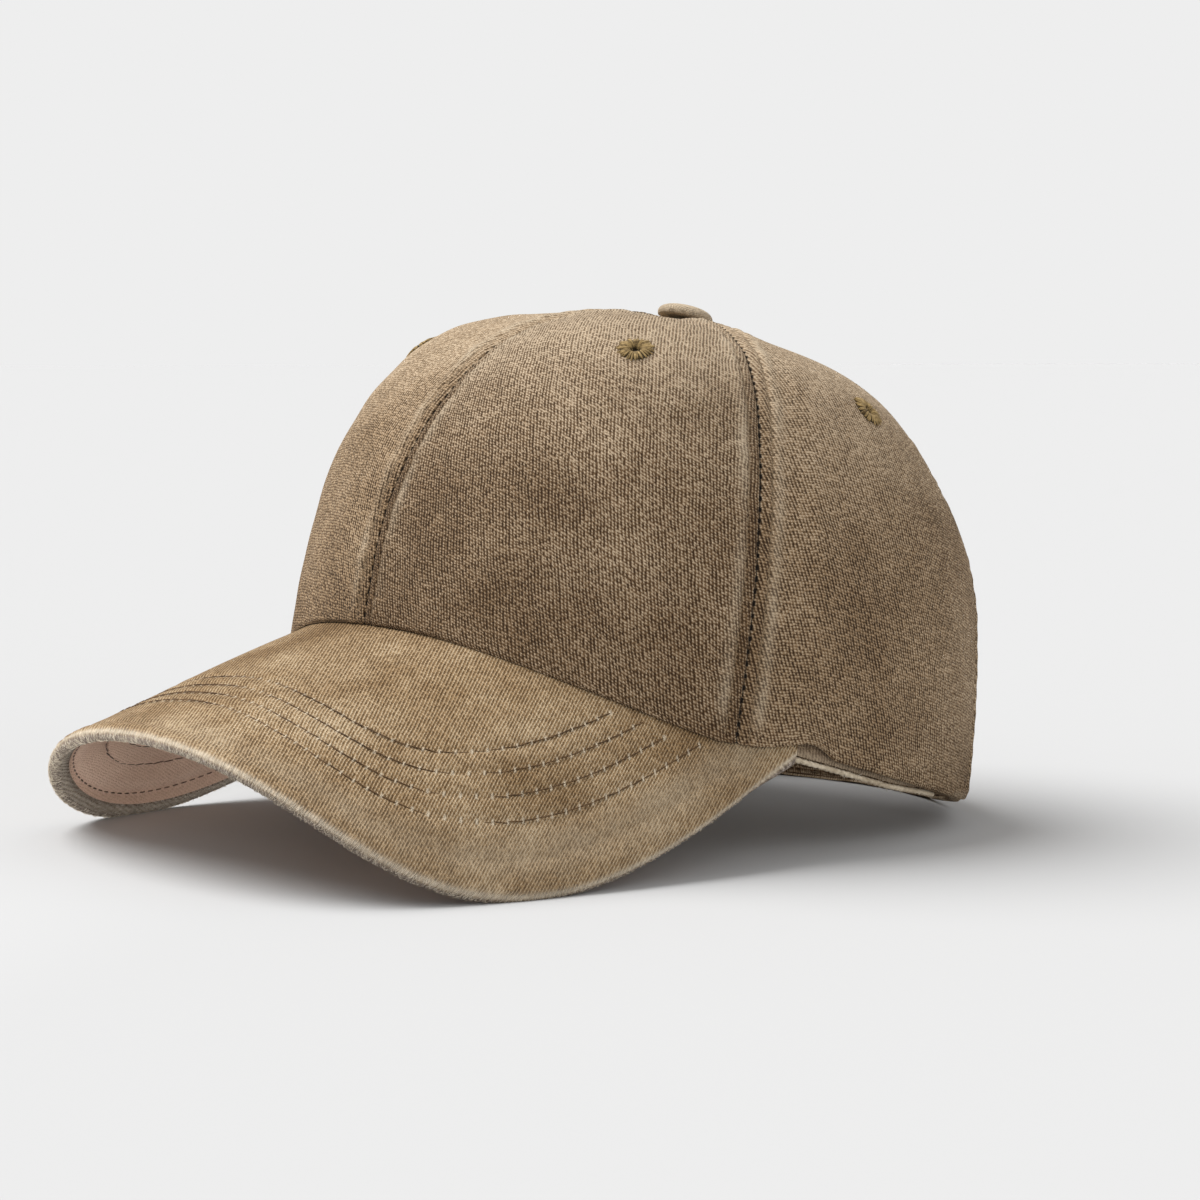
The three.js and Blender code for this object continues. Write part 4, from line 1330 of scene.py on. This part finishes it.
def makePeakTop():
    columns = peakFinish["columns"]
    along = placesAlong(columns)
    width = peakPlan(along, 1.0)[2]
    roll = rollShare(width)
    depth = peakSize["rollDepth"]
    bend = np.linspace(0, 1, 19)
    rollInward, rollDown = rollShape(bend)
    top = np.linspace(0, 1, peakFinish["topRows"])
    under = np.linspace(1, 0, 26)
    acrossRows = [(1 - roll) * place for place in top] + [1 - inward * roll for inward in rollInward[1:-1]]
    acrossRows += [(1 - roll) * place for place in under]
    depthRows = [0.0 for _ in top] + [down * depth for down in rollDown[1:-1]]
    depthRows += [float(peakSize["topWall"] + (0.9 * depth - peakSize["topWall"]) * (1 - smooth(1 - place, 0, 0.03)))
                  for place in under]
    bends = [0.0 for _ in top] + list(bend[1:-1]) + [1.0 for _ in under]
    across, down, bends = np.array(acrossRows), np.array(depthRows), np.array(bends)
    piece, row, column = layGrid("peak_top_cloth", columns, len(across))
    a, c, d, around = along[column], across[row, column], down[row], bends[row]
    x, y, wide = peakPlan(a, c)
    plan = np.stack([x, y], axis=1)
    upper = (row < peakFinish["topRows"] + 9).astype(float)
    edgeGap, _ = edgeReading(plan)
    rowGap, rowRun = rowReading(plan)
    flat = np.stack([x, y, np.zeros_like(x)], axis=1)
    relief = peakFinish["softness"] * softWaves(flat, 30, 21) * smooth(edgeGap, 2, 10) * smooth(c * wide, 2, 12)
    relief = relief - peakFinish["channel"] * hump(rowGap, 0, 0.75) + 0.10 * hump(rowGap, 2.1, 1.0)
    relief = relief + 0.22 * hump(edgeGap, 2.4, 1.6) - 0.32 * hump(edgeGap, peakSize["rollWidth"] + 1.4, 0.9)
    relief = relief + 0.16 * softWaves(flat, 5, 24) * hump(edgeGap, 1.0, 2.2)
    placePoints(piece, toFrame(peakPoint(a, c, d - relief * upper)))
    u, v = peakCut(x, y)
    lean = (row >= peakFinish["topRows"]) * 1.0
    layCut(piece, u, v - d * lean * np.sign(v + 1))
    paling = (0.70 + 0.25 * softWaves(flat, 40, 25)) * hump(edgeGap, *peakFinish["paling"]) * upper
    # painted light: the peak paler towards its left side (-x), where the key light comes from
    paling = paling + 0.10 * smooth(-x, -30, 60) * upper
    note(piece, "wearAndPaintedLight", np.clip(paling, 0, 1.1))
    # painted shadow along the peak where the crown's edge meets it
    note(piece, "shade", 0.4 * (1 - smooth(c * wide, 0, 9)))
    note(piece, "rowGap", np.where(upper > 0, rowGap, 99.0))
    note(piece, "rowRun", rowRun)
    note(piece, "roll", around)
    note(piece, "rim", hump(around, 0.26, 0.09) * 0.85 + 0.55 * hump(around, 0.93, 0.05))
    closePiece(piece)
    pressFlat(piece)
    finishPiece(piece, peakTwill, "peak_top")


def makePeakUnderside(columns=240, rows=72):
    along = placesAlong(columns) * 0.93
    width = peakPlan(along, 1.0)[2]
    roll = rollShare(width)
    edge = 1 - roll - 0.3 / width
    piece, row, column = layGrid("peak_underside_cloth", columns, rows)
    a = along[column]
    c = edge[column] * (row / (rows - 1))
    x, y, wide = peakPlan(a, c)
    plan = np.stack([x, y], axis=1)
    edgeGap, _ = edgeReading(plan)
    rowGap, rowRun = rowReading(plan)
    start = peakSize["topWall"] + peakSize["layerGap"]
    wave = 0.12 * softWaves(np.stack([x, y, 0 * x], axis=1), 26, 23) * smooth(edgeGap, 4, 12)
    placePoints(piece, toFrame(peakPoint(a, c, np.full(len(a), start))))
    stitchLine = peakSize["rollWidth"] + peakFinish["edgeRow"]
    pucker = 0.14 * np.sin(rowRun * 2 * math.pi / stitchPitch["edge"]) * hump(edgeGap, stitchLine + 0.7, 0.8)
    lower = peakSize["underWall"] + wave - 0.22 * hump(rowGap, 0, 0.7)
    lower = lower - 0.25 * hump(edgeGap, stitchLine, 0.5) + pucker
    u, v = peakCut(x, y)
    layCut(piece, u, v)
    note(piece, "wearAndPaintedLight", 0.35 * hump(edgeGap, stitchLine + 1.5, 1.0) + 0.15 * hump(edgeGap, 9, 5))
    # painted shade beside the rolled edge and towards the crown
    note(piece, "shade", 0.5 * hump(edgeGap, peakSize["rollWidth"] + 0.2, 0.6) + 0.5 * (1 - smooth(c * wide, 0, 14)))
    giveWall(piece, peakSize["underWall"], toFrame(peakPoint(a, c, start + lower)))
    pressFlat(piece)
    finishPiece(piece, undersideCloth, "peak_underside")


def sewPeak():
    size = peakFinish
    underFace = peakSize["topWall"] + peakSize["layerGap"] + peakSize["underWall"]
    random = np.random.default_rng(71)
    found, under = [], []
    for line in peakRows:
        x, y = line.T
        top = onPeak(line, 0.0)
        found.append(stitchPlaces(top, peakNormal(x, y), stitchPitch["peak"], 1.0))
        low = onPeak(line, underFace - 0.16)
        under.append(stitchPlaces(low, -peakNormal(x, y), stitchPitch["peak"], 1.0))
    for name, parts, sunk, material in (("peak_stitches", found, size["channel"] - 0.12, peakThread),
                                        ("underside_stitches", under, 0.0, edgeThread)):
        spots, ahead, outward = joined(parts)
        # each stitch lies half a step on from where the thread goes through the cloth
        beside = unit(np.cross(outward, ahead))
        spots = spots + ahead * stitchPitch["peak"] / 2 + beside * random.normal(0, 0.07, (len(spots), 1))
        lean = ahead + beside * random.normal(0, 0.05, (len(spots), 1))
        lengths = size["stitchLength"] * random.uniform(0.88, 1.06, len(spots))
        piece = copyShape(name, spots - outward * sunk, lean, outward, lengths, size["stitchWidth"],
                          size["stitchHeight"], seed=72)
        pressFlat(piece)
        finishPiece(piece, material, angle=80)
    # short stitches beside the rolled edge, underneath
    along = np.linspace(-0.9, 0.9, 361)
    inward = peakSize["rollWidth"] + size["edgeRow"]
    outline = np.stack(peakPlan(along, 1.0)[:2], axis=1)
    across = unit(np.gradient(outline, axis=0))
    line = outline + np.stack([across[:, 1], -across[:, 0]], axis=1) * -inward
    x, y = line.T
    spots, ahead, outward = stitchPlaces(onPeak(line, underFace - 0.18), -peakNormal(x, y), stitchPitch["edge"])
    piece = copyShape("edge_stitches", spots, ahead, outward, *threadSize["edge"], seed=73)
    pressFlat(piece)
    finishPiece(piece, edgeThread, angle=80)


def frayEdge():
    # short fibres across the rolled edge
    random = np.random.default_rng(81)
    count = 2600
    along = random.uniform(-0.94, 0.94, count)
    bend = random.uniform(0.22, 0.86, count)
    width = peakPlan(along, 1.0)[2]
    roll = rollShare(width)

    def at(place):
        inward, down = rollShape(place)
        return peakPoint(along, 1 - inward * roll, down * peakSize["rollDepth"])

    here, there = at(bend), at(bend + 0.06)
    middle = peakPoint(along, 1 - 0.9 * roll, np.full(count, peakSize["rollDepth"] / 2))
    outward = unit(here - middle)
    beside = unit(np.cross(outward, there - here))
    ways = unit(unit(there - here) + beside * random.uniform(-0.9, 0.9, (count, 1))
                + outward * random.uniform(-0.1, 0.45, (count, 1)))
    lengths = random.uniform(0.5, 1.5, count)
    piece = copyShape("edge_fibres", here + outward * 0.05, ways, outward, lengths, 0.11, 0.09, seed=82,
                      bend=random.uniform(0, 0.1, count))
    pressFlat(piece)
    finishPiece(piece, looseThread, angle=80)


makePeakTop()
makePeakUnderside()
sewPeak()
frayEdge()
print("peak made")


# Floor and light
studio = {
    "floorSize": 14,
    "floorColour": 0.542,
    "background": 0.855,  # how bright the backdrop looks
    "skyStrength": 0.50,  # how much light it gives
    "keyStrength": 3.72,
    "keyFrom": (-0.60, -0.36, 1.0),
    "keySoftness": 50,
    "fillStrength": 0.75,  # low, from the right
    "fillFrom": (0.90, -0.10, 0.45),
    "fillSoftness": 60,
    "lowStrength": 10.0,  # a narrow lamp near the floor that looks in under the peak
    "lowPlace": (0.34, -0.56, 0.055),
    "lowTarget": (-0.062, -0.075, 0.022),
    "lowAngle": 11,
    "lowBlend": 0.8,
    "lowRadius": 0.03,
}


def makeStudio():
    scene = bpy.context.scene
    scene.view_settings.view_transform = "Standard"
    bpy.ops.object.select_all(action="DESELECT")
    bpy.ops.mesh.primitive_circle_add(vertices=96, radius=studio["floorSize"], fill_type="NGON", location=(0, 0, 0))
    floor = bpy.context.object
    floor.name = "floor"
    material = newMaterial("paleFloor")
    add = nodeMaker(material)
    shade = studio["floorColour"]
    shader = add("ShaderNodeBsdfDiffuse", {"Color": (shade, shade, shade, 1)})
    add("ShaderNodeOutputMaterial", {"Surface": shader.outputs[0]})
    floor.data.materials.append(material)
    world = bpy.data.worlds.new("studio")
    world.use_nodes = True
    tree = world.node_tree
    tree.nodes.clear()
    lit = tree.nodes.new("ShaderNodeBackground")
    lit.inputs["Strength"].default_value = studio["skyStrength"]
    seen = tree.nodes.new("ShaderNodeBackground")
    seen.inputs["Strength"].default_value = studio["background"]
    for background in (lit, seen):
        background.inputs["Color"].default_value = (1, 1, 1, 1)
    rays = tree.nodes.new("ShaderNodeLightPath")
    mix = tree.nodes.new("ShaderNodeMixShader")
    tree.links.new(rays.outputs["Is Camera Ray"], mix.inputs[0])
    tree.links.new(lit.outputs[0], mix.inputs[1])
    tree.links.new(seen.outputs[0], mix.inputs[2])
    tree.links.new(mix.outputs[0], tree.nodes.new("ShaderNodeOutputWorld").inputs["Surface"])
    scene.world = world
    for word in ("key", "fill"):
        turn = Vector(studio[word + "From"]).normalized().to_track_quat("Z", "Y").to_euler()
        bpy.ops.object.light_add(type="SUN", rotation=turn)
        lamp = bpy.context.object
        lamp.name = word + "Light"
        lamp.data.energy = studio[word + "Strength"]
        lamp.data.angle = math.radians(studio[word + "Softness"])
    place = Vector(studio["lowPlace"])
    turn = (place - Vector(studio["lowTarget"])).to_track_quat("Z", "Y").to_euler()
    bpy.ops.object.light_add(type="SPOT", location=place, rotation=turn)
    lamp = bpy.context.object
    lamp.name = "lowLight"
    lamp.data.energy = studio["lowStrength"]
    lamp.data.spot_size = math.radians(studio["lowAngle"])
    lamp.data.spot_blend = studio["lowBlend"]
    lamp.data.shadow_soft_size = studio["lowRadius"]


makeStudio()
print("studio made")
